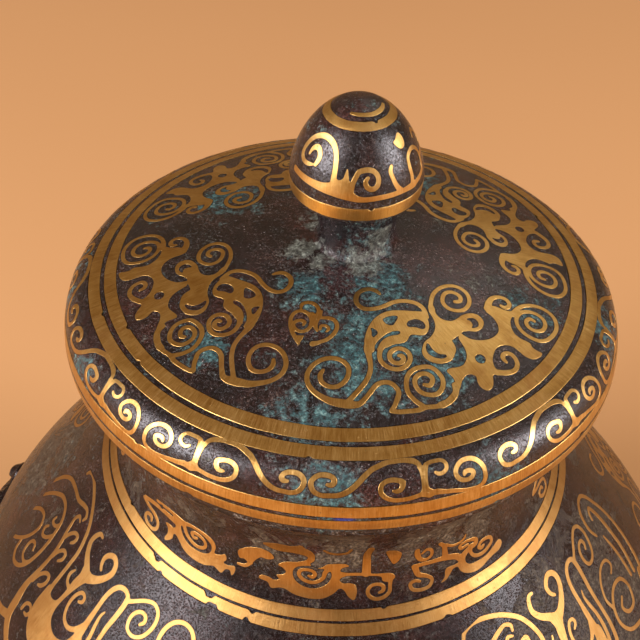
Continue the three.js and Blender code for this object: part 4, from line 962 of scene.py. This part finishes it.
def gold_material():
    M = Mat("hammered_gold")
    scr = M.noise(1.0, 4, 0.75, 0.15, vec=M.polar(210, 300))
    scr2 = M.noise(1.0, 3, 0.7, 0.1, vec=M.polar(26, 2300))
    tone = M.noise(150, 6, 0.65, 0.3)
    c = M.ramp(tone, [(0.32, (0.43, 0.232, 0.055)), (0.52, (0.60, 0.375, 0.112)), (0.72, (0.73, 0.505, 0.195))])
    c = M.mix(0.35, c, M.ramp(scr, [(0.34, (0.27, 0.130, 0.033)), (0.50, (0.60, 0.375, 0.12)), (0.66, (0.86, 0.66, 0.31))]))
    tarnish = M.span(M.noise(60, 6, 0.68, 0.5, offset=(0.7, 0.3, 1.5)), 0.50, 0.68)
    c = M.mix(M.math("MULTIPLY", tarnish, 0.5), c, (0.34, 0.150, 0.045))
    worn = M.span(M.noise(1300, 5, 0.7, 0.2, offset=(2.0, 1.1, 0.5)), 0.66, 0.70)
    c = M.mix(M.math("MULTIPLY", worn, 0.75), c, (0.035, 0.020, 0.015))
    z = M.new("ShaderNodeSeparateXYZ"); M.t.links.new(M.co, z.inputs[0]); z = z.outputs[2]
    # the gold below the lid is mixed towards a deeper orange and made rougher: painted shade that dulls its highlights
    low = M.span(z, (LID - 24) * 0.001, (LID - 30) * 0.001)
    c = M.mix(M.math("MULTIPLY", low, 0.38), c, (0.40, 0.20, 0.05))
    # the shoulder's scrolls are darkened below the strips above them: painted shade
    shoulder_gold_shade = M.span(z, (LID - 39) * 0.001, (LID - 48) * 0.001)
    c = M.mix(M.math("MULTIPLY", shoulder_gold_shade, 0.50), c, (0.17, 0.080, 0.026))
    M.put(M.b.inputs["Base Color"], c)
    M.b.inputs["Metallic"].default_value = 1.0
    r = M.math("ADD", M.math("ADD", 0.335, M.math("MULTIPLY", M.math("ADD", low, shoulder_gold_shade), 0.05)), M.math("MULTIPLY", M.math("SUBTRACT", scr, 0.5), 0.26))
    r = M.math("ADD", r, M.math("ADD", M.math("MULTIPLY", worn, 0.25), M.math("MULTIPLY", tarnish, 0.10)))
    M.put(M.b.inputs["Roughness"], r)
    h = M.math("ADD", M.math("MULTIPLY", scr, 0.6), M.math("MULTIPLY", scr2, 0.35))
    h = M.math("ADD", h, M.math("MULTIPLY", M.noise(420, 4, 0.6), 1.1))
    h = M.math("SUBTRACT", h, M.math("MULTIPLY", worn, 0.5))
    M.bump(h, 0.7, 0.00009)
    return M.m


def seam_material():
    M = Mat("dark_seam")
    M.put(M.b.inputs["Base Color"], M.ramp(M.noise(900, 4, 0.7), [(0.35, (0.0015, 0.0010, 0.0012)), (0.65, (0.010, 0.006, 0.006))]))
    M.b.inputs["IOR"].default_value = 1.40
    M.b.inputs["Roughness"].default_value = 0.6
    return M.m


def tin_material():
    M = Mat("dull_solder")
    n = M.noise(260, 7, 0.65, 0.4)
    M.put(M.b.inputs["Base Color"], M.ramp(n, [(0.3, (0.16, 0.15, 0.135)), (0.55, (0.30, 0.285, 0.26)), (0.75, (0.42, 0.40, 0.37))]))
    M.b.inputs["Metallic"].default_value = 0.75
    M.put(M.b.inputs["Roughness"], M.math("ADD", 0.42, M.math("MULTIPLY", n, 0.25)))
    M.bump(M.noise(700, 5, 0.6), 0.5, 0.00012)
    return M.m


BRONZE, GOLD, TIN, SEAM = bronze_material(), gold_material(), tin_material(), seam_material()
slots = {s["node"]: s["material_slot"] for s in frame["record"]["subparts"]}
mats = {"bronze": BRONZE, "gold_inlay": GOLD, "tin_solder": TIN}
for n, o in frame["nodes"].items():
    o.data.materials.clear()
    o.data.materials.append(mats[slots[n]])


def finish(ob, mat, body, slot, *nodes):
    ob.data.materials.clear(); ob.data.materials.append(mat)
    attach(ob, body)
    if nodes:
        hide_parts(*nodes)
    return ob


# ---------------------------------------------------------------- the pieces
LID_OUT = [(5.8, 9.68), (15, 9), (20, 8.4), (25, 7.6), (30, 6.65), (35, 5.5), (40, 4.15), (44, 3), (47.17, 2.05), (49.63, 1.18), (50.59, 0.87), (53, 0), (54.9, -1), (56.5, -2.5), (57.6, -4.3), (58.3, -6.28), (58.75, -8.7), (58.8, -9.5), (58.55, -12.1)]
lid_rows = dense(LID_OUT, 0.45, (8, 10, 15, 17)) + [(58.38, -12.6), (58.05, -13.1), (57.5, -13.45), (56.8, -13.6), (54.2, -13.8), (48.15, -13.8), (48, -13.95), (48, -22.3), (47.8, -22.5), (45.4, -22.5), (45.2, -22.3), (45.2, -12.5), (51, -9.5), (53.3, -7), (52, -4), (49.5, -2.4), (47, -1.3), (44, -0.2), (40, 1), (35, 2.4), (30, 3.5), (25, 4.5), (20, 5.3), (14, 6.4), (5.8, 6.4)]
finish(turned_mesh("lid_bronze", lid_rows, 360, angle=35), BRONZE, "lid", "bronze", "lid_shell")

KN = [(0, 41.55), (4.43, 40.46), (5.6, 39.65), (7.05, 38.55), (8.4, 37.2), (9.63, 35.57), (10.63, 33.94), (11.45, 32.31), (12.12, 30.68), (12.65, 29.05), (13.04, 27.42), (13.25, 25.5), (13.02, 22.7)]
knob_rows = dense(KN, 0.3, (2, 11), 0.10, 0.22) + [(12.85, 22.2), (12.4, 21.95), (11.0, 21.85), (9.9, 21.75), (9.35, 21.3), (9.15, 20.6), (8.95, 19.6), (8.7, 18.4), (8.45, 17.2), (8.25, 16.0), (8.1, 15.0), (7.95, 14.0), (7.85, 13.0), (7.85, 12.0), (7.95, 11.2), (8.1, 10.6), (8.35, 10.15), (8.65, 9.85), (9.0, 9.5), (8.2, 9.3), (8.2, 6.35), (0, 6.35)]


def stem(V):
    """The stem leans off the bud's axis and its foot is lumpy with old cast metal and crust."""
    z = V[:, 2] - LID
    f = np.clip((21.6 - z) / 3.0, 0, 1); f = f * f * (3 - 2 * f)
    x, y = V[:, 0] - KNOB_AT[0], V[:, 1] - KNOB_AT[1]
    r = np.hypot(x, y); t = np.arctan2(y, x)
    lump = np.clip((18.5 - z) / 6.0, 0, 1) * np.clip((z - 9.7) / 0.4, 0, 1)
    d = 0.18 * np.sin(3 * t + 0.7) + 0.12 * np.sin(5 * t + 0.4 * z + 1.9) + 0.06 * np.sin(9 * t - 0.6 * z)
    k = np.where(r > 7.8, 1 + lump * d / np.maximum(r, 1), 1)
    V[:, 0] = KNOB_AT[0] + x * k + 0.55 * f * math.cos(math.radians(TURN)); V[:, 1] = KNOB_AT[1] + y * k + 0.55 * f * math.sin(math.radians(TURN))
    return V


finish(turned_mesh("knob_bronze", knob_rows, 220, KNOB_AT, angle=35, warp=stem), BRONZE, "lid", "bronze", "knob")

BODY = [(56.5, -16.4), (55.5, -18), (52.5, -22), (49.8, -26.5), (48.3, -31), (47.8, -35), (48.2, -39), (49.3, -43), (51.44, -47), (53.14, -48.7), (53.5, -49.05), (55.2, -50.8), (60, -56), (66, -62.6), (74, -71.6), (82, -81), (87.5, -88.5), (91.2, -95), (94, -103), (95.3, -111), (95.6, -118), (95.1, -126), (94.1, -134), (93.1, -138), (92.8, -139), (91.4, -142.8), (88, -150.5), (81.5, -161), (73.5, -170), (65.5, -177), (60.6, -180.9), (58.2, -183.4), (57.5, -185.5), (58, -188.5), (60, -194), (62.2, -199.5), (62.5, -203.3)]
body_rows = [(48.6, -14.25), (48.75, -14.1), (55.6, -14.1), (56.1, -14.25), (56.45, -14.7), (56.5, -15.3)] + dense(BODY, 0.7, (8, 10, 22, 24, 30)) + [(62.35, -203.7), (61.9, -204), (59.2, -204), (59, -203.8), (57.5, -198), (54, -193), (20, -190.8), (0, -190.8)]
inner_rows = [(0, -186.5), (40, -184), (56, -179.2), (62.9, -173.9), (70.7, -167.2), (78.3, -158.6), (84.5, -148.6), (88.6, -137.6), (90.6, -129.7), (91.1, -125.6), (91.6, -118), (91.3, -111.4), (90.1, -104), (87.5, -96.6), (84.2, -90.7), (78.9, -83.5), (71, -74.2), (63, -65.3), (57, -58.7), (50.2, -51.4), (47.2, -48), (45.2, -44.2), (44.2, -39.7), (43.8, -35), (44.4, -30.4), (46, -26), (48.6, -23.5)]
finish(turned_mesh("jar_bronze", inner_rows + body_rows, 400, angle=35), BRONZE, "jar", "bronze", "jar_body")

# missing bits of strip: angle from the photograph's side, width in degrees, depth in mm (+ from the upper edge, - from the lower)
NICKS = {"neck_base_lower_band": ((-134.0, 1.5, 0.9), (-131.5, 0.9, -0.5), (-118.2, 1.4, 0.9), (-116.6, 1.8, -0.8), (-108.4, 0.9, -0.8), (-107.6, 0.8, 0.6), (-64.0, 1.2, -0.5), (40, 1.5, 0.7), (131, 1.8, -0.8)),
         "neck_base_upper_band": ((-150.0, 1.0, 0.4), (-78.0, 0.9, 0.4), (70, 1.4, -0.6)),
         "lid_top_inner_band": ((-152.0, 1.1, 0.5), (-141.0, 0.8, -0.4), (25, 1.0, 0.5)), "lid_top_outer_band": ((-96.0, 0.8, -0.35), (-160.0, 0.9, 0.4)),
         "lid_rim_lower_band": ((-118.0, 1.2, -0.5), (-60.0, 0.9, -0.4), (95, 1.5, -0.6)), "lid_rim_upper_band": ((-130.0, 0.8, 0.4), (-38.0, 0.9, -0.4)),
         "knob_base_band": ((-78.0, 2.2, 0.5), (100, 4, 0.6)), "knob_crown_ring": ((-60.0, 6.0, 0.5),),
         "belly_upper_band": ((-20.0, 0.8, 0.8),), "belly_lower_band": ((-70.0, 0.7, -0.9), (150, 0.9, 0.7))}
for nm, pts, i, body, seed, seg, centre, wave in (
        ("lid_top_inner_band", LID_OUT, 8, "lid", 0.3, 720, (0, 0), 0.07), ("lid_top_outer_band", LID_OUT, 10, "lid", 1.1, 720, (0, 0), 0.07),
        ("lid_rim_upper_band", LID_OUT, 15, "lid", 2.7, 720, (0, 0), 0.07), ("lid_rim_lower_band", LID_OUT, 17, "lid", 3.9, 720, (0, 0), 0.07),
        ("knob_base_band", KN, 11, "lid", 0.9, 260, KNOB_AT, 0.05), ("knob_crown_ring", KN, 2, "lid", 5.1, 200, KNOB_AT, 0.05),
        ("neck_base_upper_band", BODY, 8, "jar", 1.9, 720, (0, 0), 0.08), ("neck_base_lower_band", BODY, 10, "jar", 4.4, 720, (0, 0), 0.08),
        ("belly_upper_band", BODY, 22, "jar", 2.2, 900, (0, 0), 0.12), ("belly_lower_band", BODY, 24, "jar", 0.6, 900, (0, 0), 0.12), ("foot_band", BODY, 30, "jar", 3.3, 720, (0, 0), 0.1)):
    finish(band(nm.replace("_band", "_strip").replace("_ring", "_strip"), pts, i, seg, centre=centre, seed=seed, wave=wave, nicks=NICKS.get(nm, ())), GOLD, body, "gold_inlay", nm)


def swept(name, path, radii, closed=False, seg=28, side=(0, 1, 0), squeeze=1.0):
    """A round bar along a path (mm) that lies in a plane square to side; open ends are rounded off."""
    P, r = np.array(path, float), np.array(radii, float)
    n = len(P)
    T = np.roll(P, -1, 0) - np.roll(P, 1, 0) if closed else np.gradient(P, axis=0)
    T /= np.linalg.norm(T, axis=1)[:, None]
    B = np.array(side, float)
    N = np.cross(B, T)
    if not closed:
        # rounded ends
        add = np.linspace(0, 1, 6)[1:]
        P = np.vstack([[P[0] - T[0] * r[0] * a for a in add[::-1]], P, [P[-1] + T[-1] * r[-1] * a for a in add]])
        r = np.concatenate([[r[0] * math.sqrt(max(1 - a * a, 0.0004)) for a in add[::-1]], r, [r[-1] * math.sqrt(max(1 - a * a, 0.0004)) for a in add]])
        N = np.vstack([[N[0]] * 5, N, [N[-1]] * 5]); n = len(P)
    a = np.arange(seg) * 2 * np.pi / seg
    V = (P[:, None, :] + r[:, None, None] * (np.cos(a)[None, :, None] * N[:, None, :] + squeeze * np.sin(a)[None, :, None] * B[None, None, :])).reshape(-1, 3)
    F = [(i * seg + k, i * seg + (k + 1) % seg, (i + 1) % n * seg + (k + 1) % seg, (i + 1) % n * seg + k) for i in range(n if closed else n - 1) for k in range(seg)]
    if not closed:
        F += [tuple(range(seg))[::-1], tuple((n - 1) * seg + k for k in range(seg))]
    return V, F


def solid(name, parts, angle=40):
    """One object from several closed shells, faces outwards."""
    import bmesh
    V, F, base = [], [], 0
    for v, f in parts:
        V.append(v); F += [tuple(base + i for i in q) for q in f]; base += len(v)
    me = bpy.data.meshes.new(name)
    me.from_pydata((np.vstack(V) * 0.001).tolist(), [], F)
    bm = bmesh.new(); bm.from_mesh(me)
    bmesh.ops.recalc_face_normals(bm, faces=bm.faces)
    bm.to_mesh(me); bm.free()
    me.polygons.foreach_set("use_smooth", [True] * len(me.polygons))
    me.set_sharp_from_angle(angle=math.radians(angle))
    ob = bpy.data.objects.new(name, me)
    bpy.context.scene.collection.objects.link(ob)
    return ob


LUG_Z, LOOP_X, LOOP_Z, RING_R = 90.5, 104.4, 75.0, 15.5
EYE = (4.9, 1.7)


def mask_face():
    """Relief of the animal mask: horn brows, round eyes, a broad nose and curled cheeks, on the lug's outline."""
    S = Sheet(-16, -13, 16, 13, 0.1)
    half = [(0, -11), (4.2, -9), (8, -3), (12, 3), (13.6, 8.8), (9.5, 10.5), (6, 8.6)]
    S.patch(half + [(0, 10)] + [(-x, y) for x, y in reversed(half[1:])], True)
    inside = np.clip(-S.F / 1.7, 0, 1)
    H = 1.4 * np.sqrt(np.clip(1 - (1 - inside) ** 2, 0, 1)) + 1.3 * np.clip(1 - (S.X[None, :] / 15) ** 2 - (S.Y[:, None] / 13) ** 2, 0, 1)
    up, down = np.zeros_like(H), np.zeros_like(H)

    def line(pts, w, h, to):
        for m in (1, -1):
            P = spline([(m * x, y) for x, y in pts]) if len(pts) > 1 else np.array([(m * pts[0][0], pts[0][1]), (m * pts[0][0], pts[0][1] + 0.01)])
            acc = np.full_like(H, 9.0)
            S._segs(P[:, :2], np.zeros(len(P)), acc, w)
            np.maximum(to, h * np.clip(1 - (acc / (w / 2)) ** 2, 0, 1) ** 0.7, out=to)

    line([(1.5, 0.6), (2.6, 4.0), (5.8, 5.6), (9.0, 5.0), (11.5, 5.9), (11.9, 8.0), (10.2, 8.9), (9.1, 7.7)], 2.1, 1.5, up)
    line([(1.2, 8.6), (2.6, 7.6), (4.6, 8.0)], 1.3, 0.7, up)
    line([(0, 8.3), (0, 3), (0, -2), (0, -6)], 3.4, 1.9, up)
    line([(0, -3.6), (0, -6.2)], 5.2, 1.5, up)
    line([(2.1, -5.3), (2.4, -6.0)], 2.6, 1.7, up)
    line([EYE], 4.3, 1.9, up)
    line([(3.4, -2.2), (6.0, -1.5), (8.3, 0.6), (9.7, 2.6), (11.6, 3.4)], 1.5, 0.9, up)
    line([(2.4, -8.4), (4.4, -7.2), (5.9, -4.9), (5.1, -3.6), (3.9, -4.3), (4.3, -5.4)], 1.1, 0.8, up)
    line([(EYE[0] + 2.45 * math.cos(a), EYE[1] + 2.0 * math.sin(a)) for a in np.linspace(0, 2 * np.pi, 17)], 0.6, 0.45, down)
    line([EYE], 1.5, 0.6, down)
    for a in np.linspace(0, 1, 7):
        x = 3.4 + 6.2 * a; y = 5.0 + 0.75 * math.sin(math.pi * a)
        line([(x - 0.35, y + 0.95), (x + 0.25, y - 0.75)], 0.36, 0.3, down)
    for y in (6.6, 5.2, 3.8):
        line([(0, y), (1.0, y + 0.7)], 0.36, 0.3, down)
    line([(2.3, -5.8)], 0.9, 0.8, down)
    line([(6.6, -2.6), (8.4, -0.9), (10.0, 1.2)], 0.35, 0.25, down)
    S.H = H + up - down
    return S, S.cut(grid=0.42, step=0.35, inset=0.05)


def mask_lugs():
    S, C = mask_face()
    F = S.F
    out = []
    for nm, sg in (("right", 1), ("left", -1)):
        def place(x, y, h, sg=sg):
            S.F = S.H; v = S.value(x, y); S.F = F
            X = np.where(h > 0, 96.0 + v + (h - 0.3), 92.6)
            return np.stack([sg * X, sg * x, np.full_like(x, LUG_Z) + y], -1)
        face = build([(C, place, False)], nm + "_mask", rise=0.3, sink=3.0, edge=0.2)
        a = np.linspace(0, 2 * np.pi, 97)[:-1]
        r = 2.1 - 0.20 * sum(np.exp(-((np.abs((a - g + np.pi) % (2 * np.pi) - np.pi)) / 0.045) ** 2) for g in (0.62, 0.80, 0.98, -0.98, -0.80, -0.62, 2.5, 3.8)) - 0.12 * np.exp(-((np.abs((a + np.pi / 2 + np.pi) % (2 * np.pi) - np.pi)) / 0.5) ** 2)
        loop = swept("loop", [(sg * (LOOP_X + 5.2 * math.cos(t)), 0, LOOP_Z + 5.2 * math.sin(t)) for t in a], r, True, 30)
        P = spline([(96.4, 86.6, 2.5), (99.0, 85.6, 2.9), (101.0, 83.9, 2.7), (102.3, 82.0, 2.3), (102.9, 80.6, 1.9)], step=0.35)
        snout = swept("snout", [(sg * x, 0, z) for x, z in P[:, :2]], P[:, 2], False, 30)
        # the tenon that passes through the wall, its end upset over the washer
        ten = swept("tenon", [(sg * x, 0, LUG_Z) for x in (96, 93, 91.2, 91.0)], [3.9, 3.9, 3.9, 3.9], False, 36)
        ten = (np.stack([np.sign(ten[0][:, 0]) * np.clip(np.abs(ten[0][:, 0]), 90.2, 97), ten[0][:, 1], ten[0][:, 2]], -1), ten[1])
        rest = solid(nm + "_mask_loop", [loop, snout, ten])
        beads = []
        for m in (1, -1):
            q = np.arange(20) * 2 * np.pi / 20
            rows = [(0.16, 1.02), (0.5, 0.95), (0.82, 0.72), (0.98, 0.42), (1.0, 0.1), (1.0, -0.9)]
            V = np.array([(sg * (99.6 + d), sg * (m * EYE[0] + w * math.cos(t)), LUG_Z + EYE[1] + w * math.sin(t)) for w, d in rows for t in q])
            Fc = [(i * 20 + k, i * 20 + (k + 1) % 20, (i + 1) * 20 + (k + 1) % 20, (i + 1) * 20 + k) for i in range(len(rows) - 1) for k in range(20)] + [tuple(range(20)), tuple(len(rows) * 20 - 1 - k for k in range(20))]
            beads.append((V, Fc))
        eyes = solid(nm + "_mask_eye_beads", beads)
        finish(face, BRONZE, "jar", "bronze", nm + "_mask_lug")
        finish(rest, BRONZE, "jar", "bronze", nm + "_mask_lug")
        finish(eyes, GOLD, "jar", "gold_inlay")
        # ring: plain round bar with four cast collars and wear where it hangs
        a = np.linspace(0, 2 * np.pi, 241)[:-1]
        r = np.full(240, 2.14) + 0.02 * np.sin(7 * a) + 0.015 * np.sin(17 * a + 1)
        for c in (0.0, np.pi / 2, np.pi, -np.pi / 2):
            d = np.abs((a - c - np.pi / 4 + np.pi) % (2 * np.pi) - np.pi)
            r = np.where(d < 0.16, 2.28 - 0.20 * np.exp(-((d - 0.085) / 0.018) ** 2) - 0.06 * (d > 0.13), r)
        d = np.abs((a - np.pi / 2 + np.pi) % (2 * np.pi) - np.pi)
        r = r - 0.10 * np.exp(-(d / 0.13) ** 2)
        ring = solid(nm + "_ring_bar", [swept("ring", [(sg * LOOP_X, RING_R * math.cos(t), LOOP_Z - 0.4 - RING_R + RING_R * math.sin(t)) for t in a], r, True, 36, side=(1, 0, 0))])
        finish(ring, BRONZE, "ring_" + nm, "bronze", nm + "_ring")


mask_lugs()

import time
T0 = time.time()
CLOUD = cloud_motif()
for make, body in ((lid_scrolls, "lid"), (rim_frieze, "lid"), (knob_inlay, "lid"), (neck_scrolls, "jar"), (lambda: shoulder_scrolls(CLOUD), "jar")):
    gold, dark = make()
    finish(gold, GOLD, body, "gold_inlay")
    finish(dark, SEAM, body, "bronze")
for ob in rows_below(rim_unit(), CLOUD):
    finish(ob, GOLD, "jar", "gold_inlay")
print("inlay built in", round(time.time() - T0, 1), "s;", sum(len(o.data.polygons) for o in bpy.data.objects if o.type == "MESH"), "faces")


# ---------------------------------------------------------------- floor and light
floor_mesh = bpy.data.meshes.new("floor")
floor_mesh.from_pydata([(-4, -4, 0), (4, -4, 0), (4, 4, 0), (-4, 4, 0)], [], [(0, 1, 2, 3)])
floor = bpy.data.objects.new("floor", floor_mesh)
bpy.context.scene.collection.objects.link(floor)
F_ = Mat("floor_paper")
F_.put(F_.b.inputs["Base Color"], F_.ramp(F_.noise(2.0, 2, 0.5), [(0.3, (0.545, 0.292, 0.116)), (0.7, (0.575, 0.312, 0.127))]))
F_.b.inputs["Roughness"].default_value = 0.9
floor.data.materials.append(F_.m)

world = bpy.data.worlds.new("studio"); bpy.context.scene.world = world
world.use_nodes = True
world.node_tree.nodes["Background"].inputs["Color"].default_value = (0.66, 0.42, 0.22, 1)
world.node_tree.nodes["Background"].inputs["Strength"].default_value = 0.44


def area(name, az, el, dist, size, power, color=(1, 1, 1), target=(0, 0, 0.2)):
    """A softbox seen from the jar at azimuth az (0 behind, +90 right, +-180 at the camera) and elevation el."""
    d = bpy.data.lights.new(name, "AREA"); d.shape = "RECTANGLE"; d.size, d.size_y = size; d.energy = power; d.color = color
    o = bpy.data.objects.new(name, d); bpy.context.scene.collection.objects.link(o)
    a = math.radians(az - TURN); e = math.radians(el)
    v = Vector((math.sin(a) * math.cos(e), math.cos(a) * math.cos(e), math.sin(e)))
    o.location = Vector(target) + v * dist
    o.rotation_euler = (-v).to_track_quat("-Z", "Y").to_euler()
    return o


area("softbox_left", -118, 24, 1.5, (0.80, 0.90), 40, (1.0, 0.935, 0.975))
area("softbox_right", 106, 20, 1.5, (0.58, 0.84), 27, (1.0, 0.935, 0.975))
area("softbox_back", 45, 62, 1.4, (0.50, 0.60), 1.8, (1.0, 0.95, 0.88), (0, 0.4, 0))

bpy.context.scene.view_settings.view_transform = "Standard"
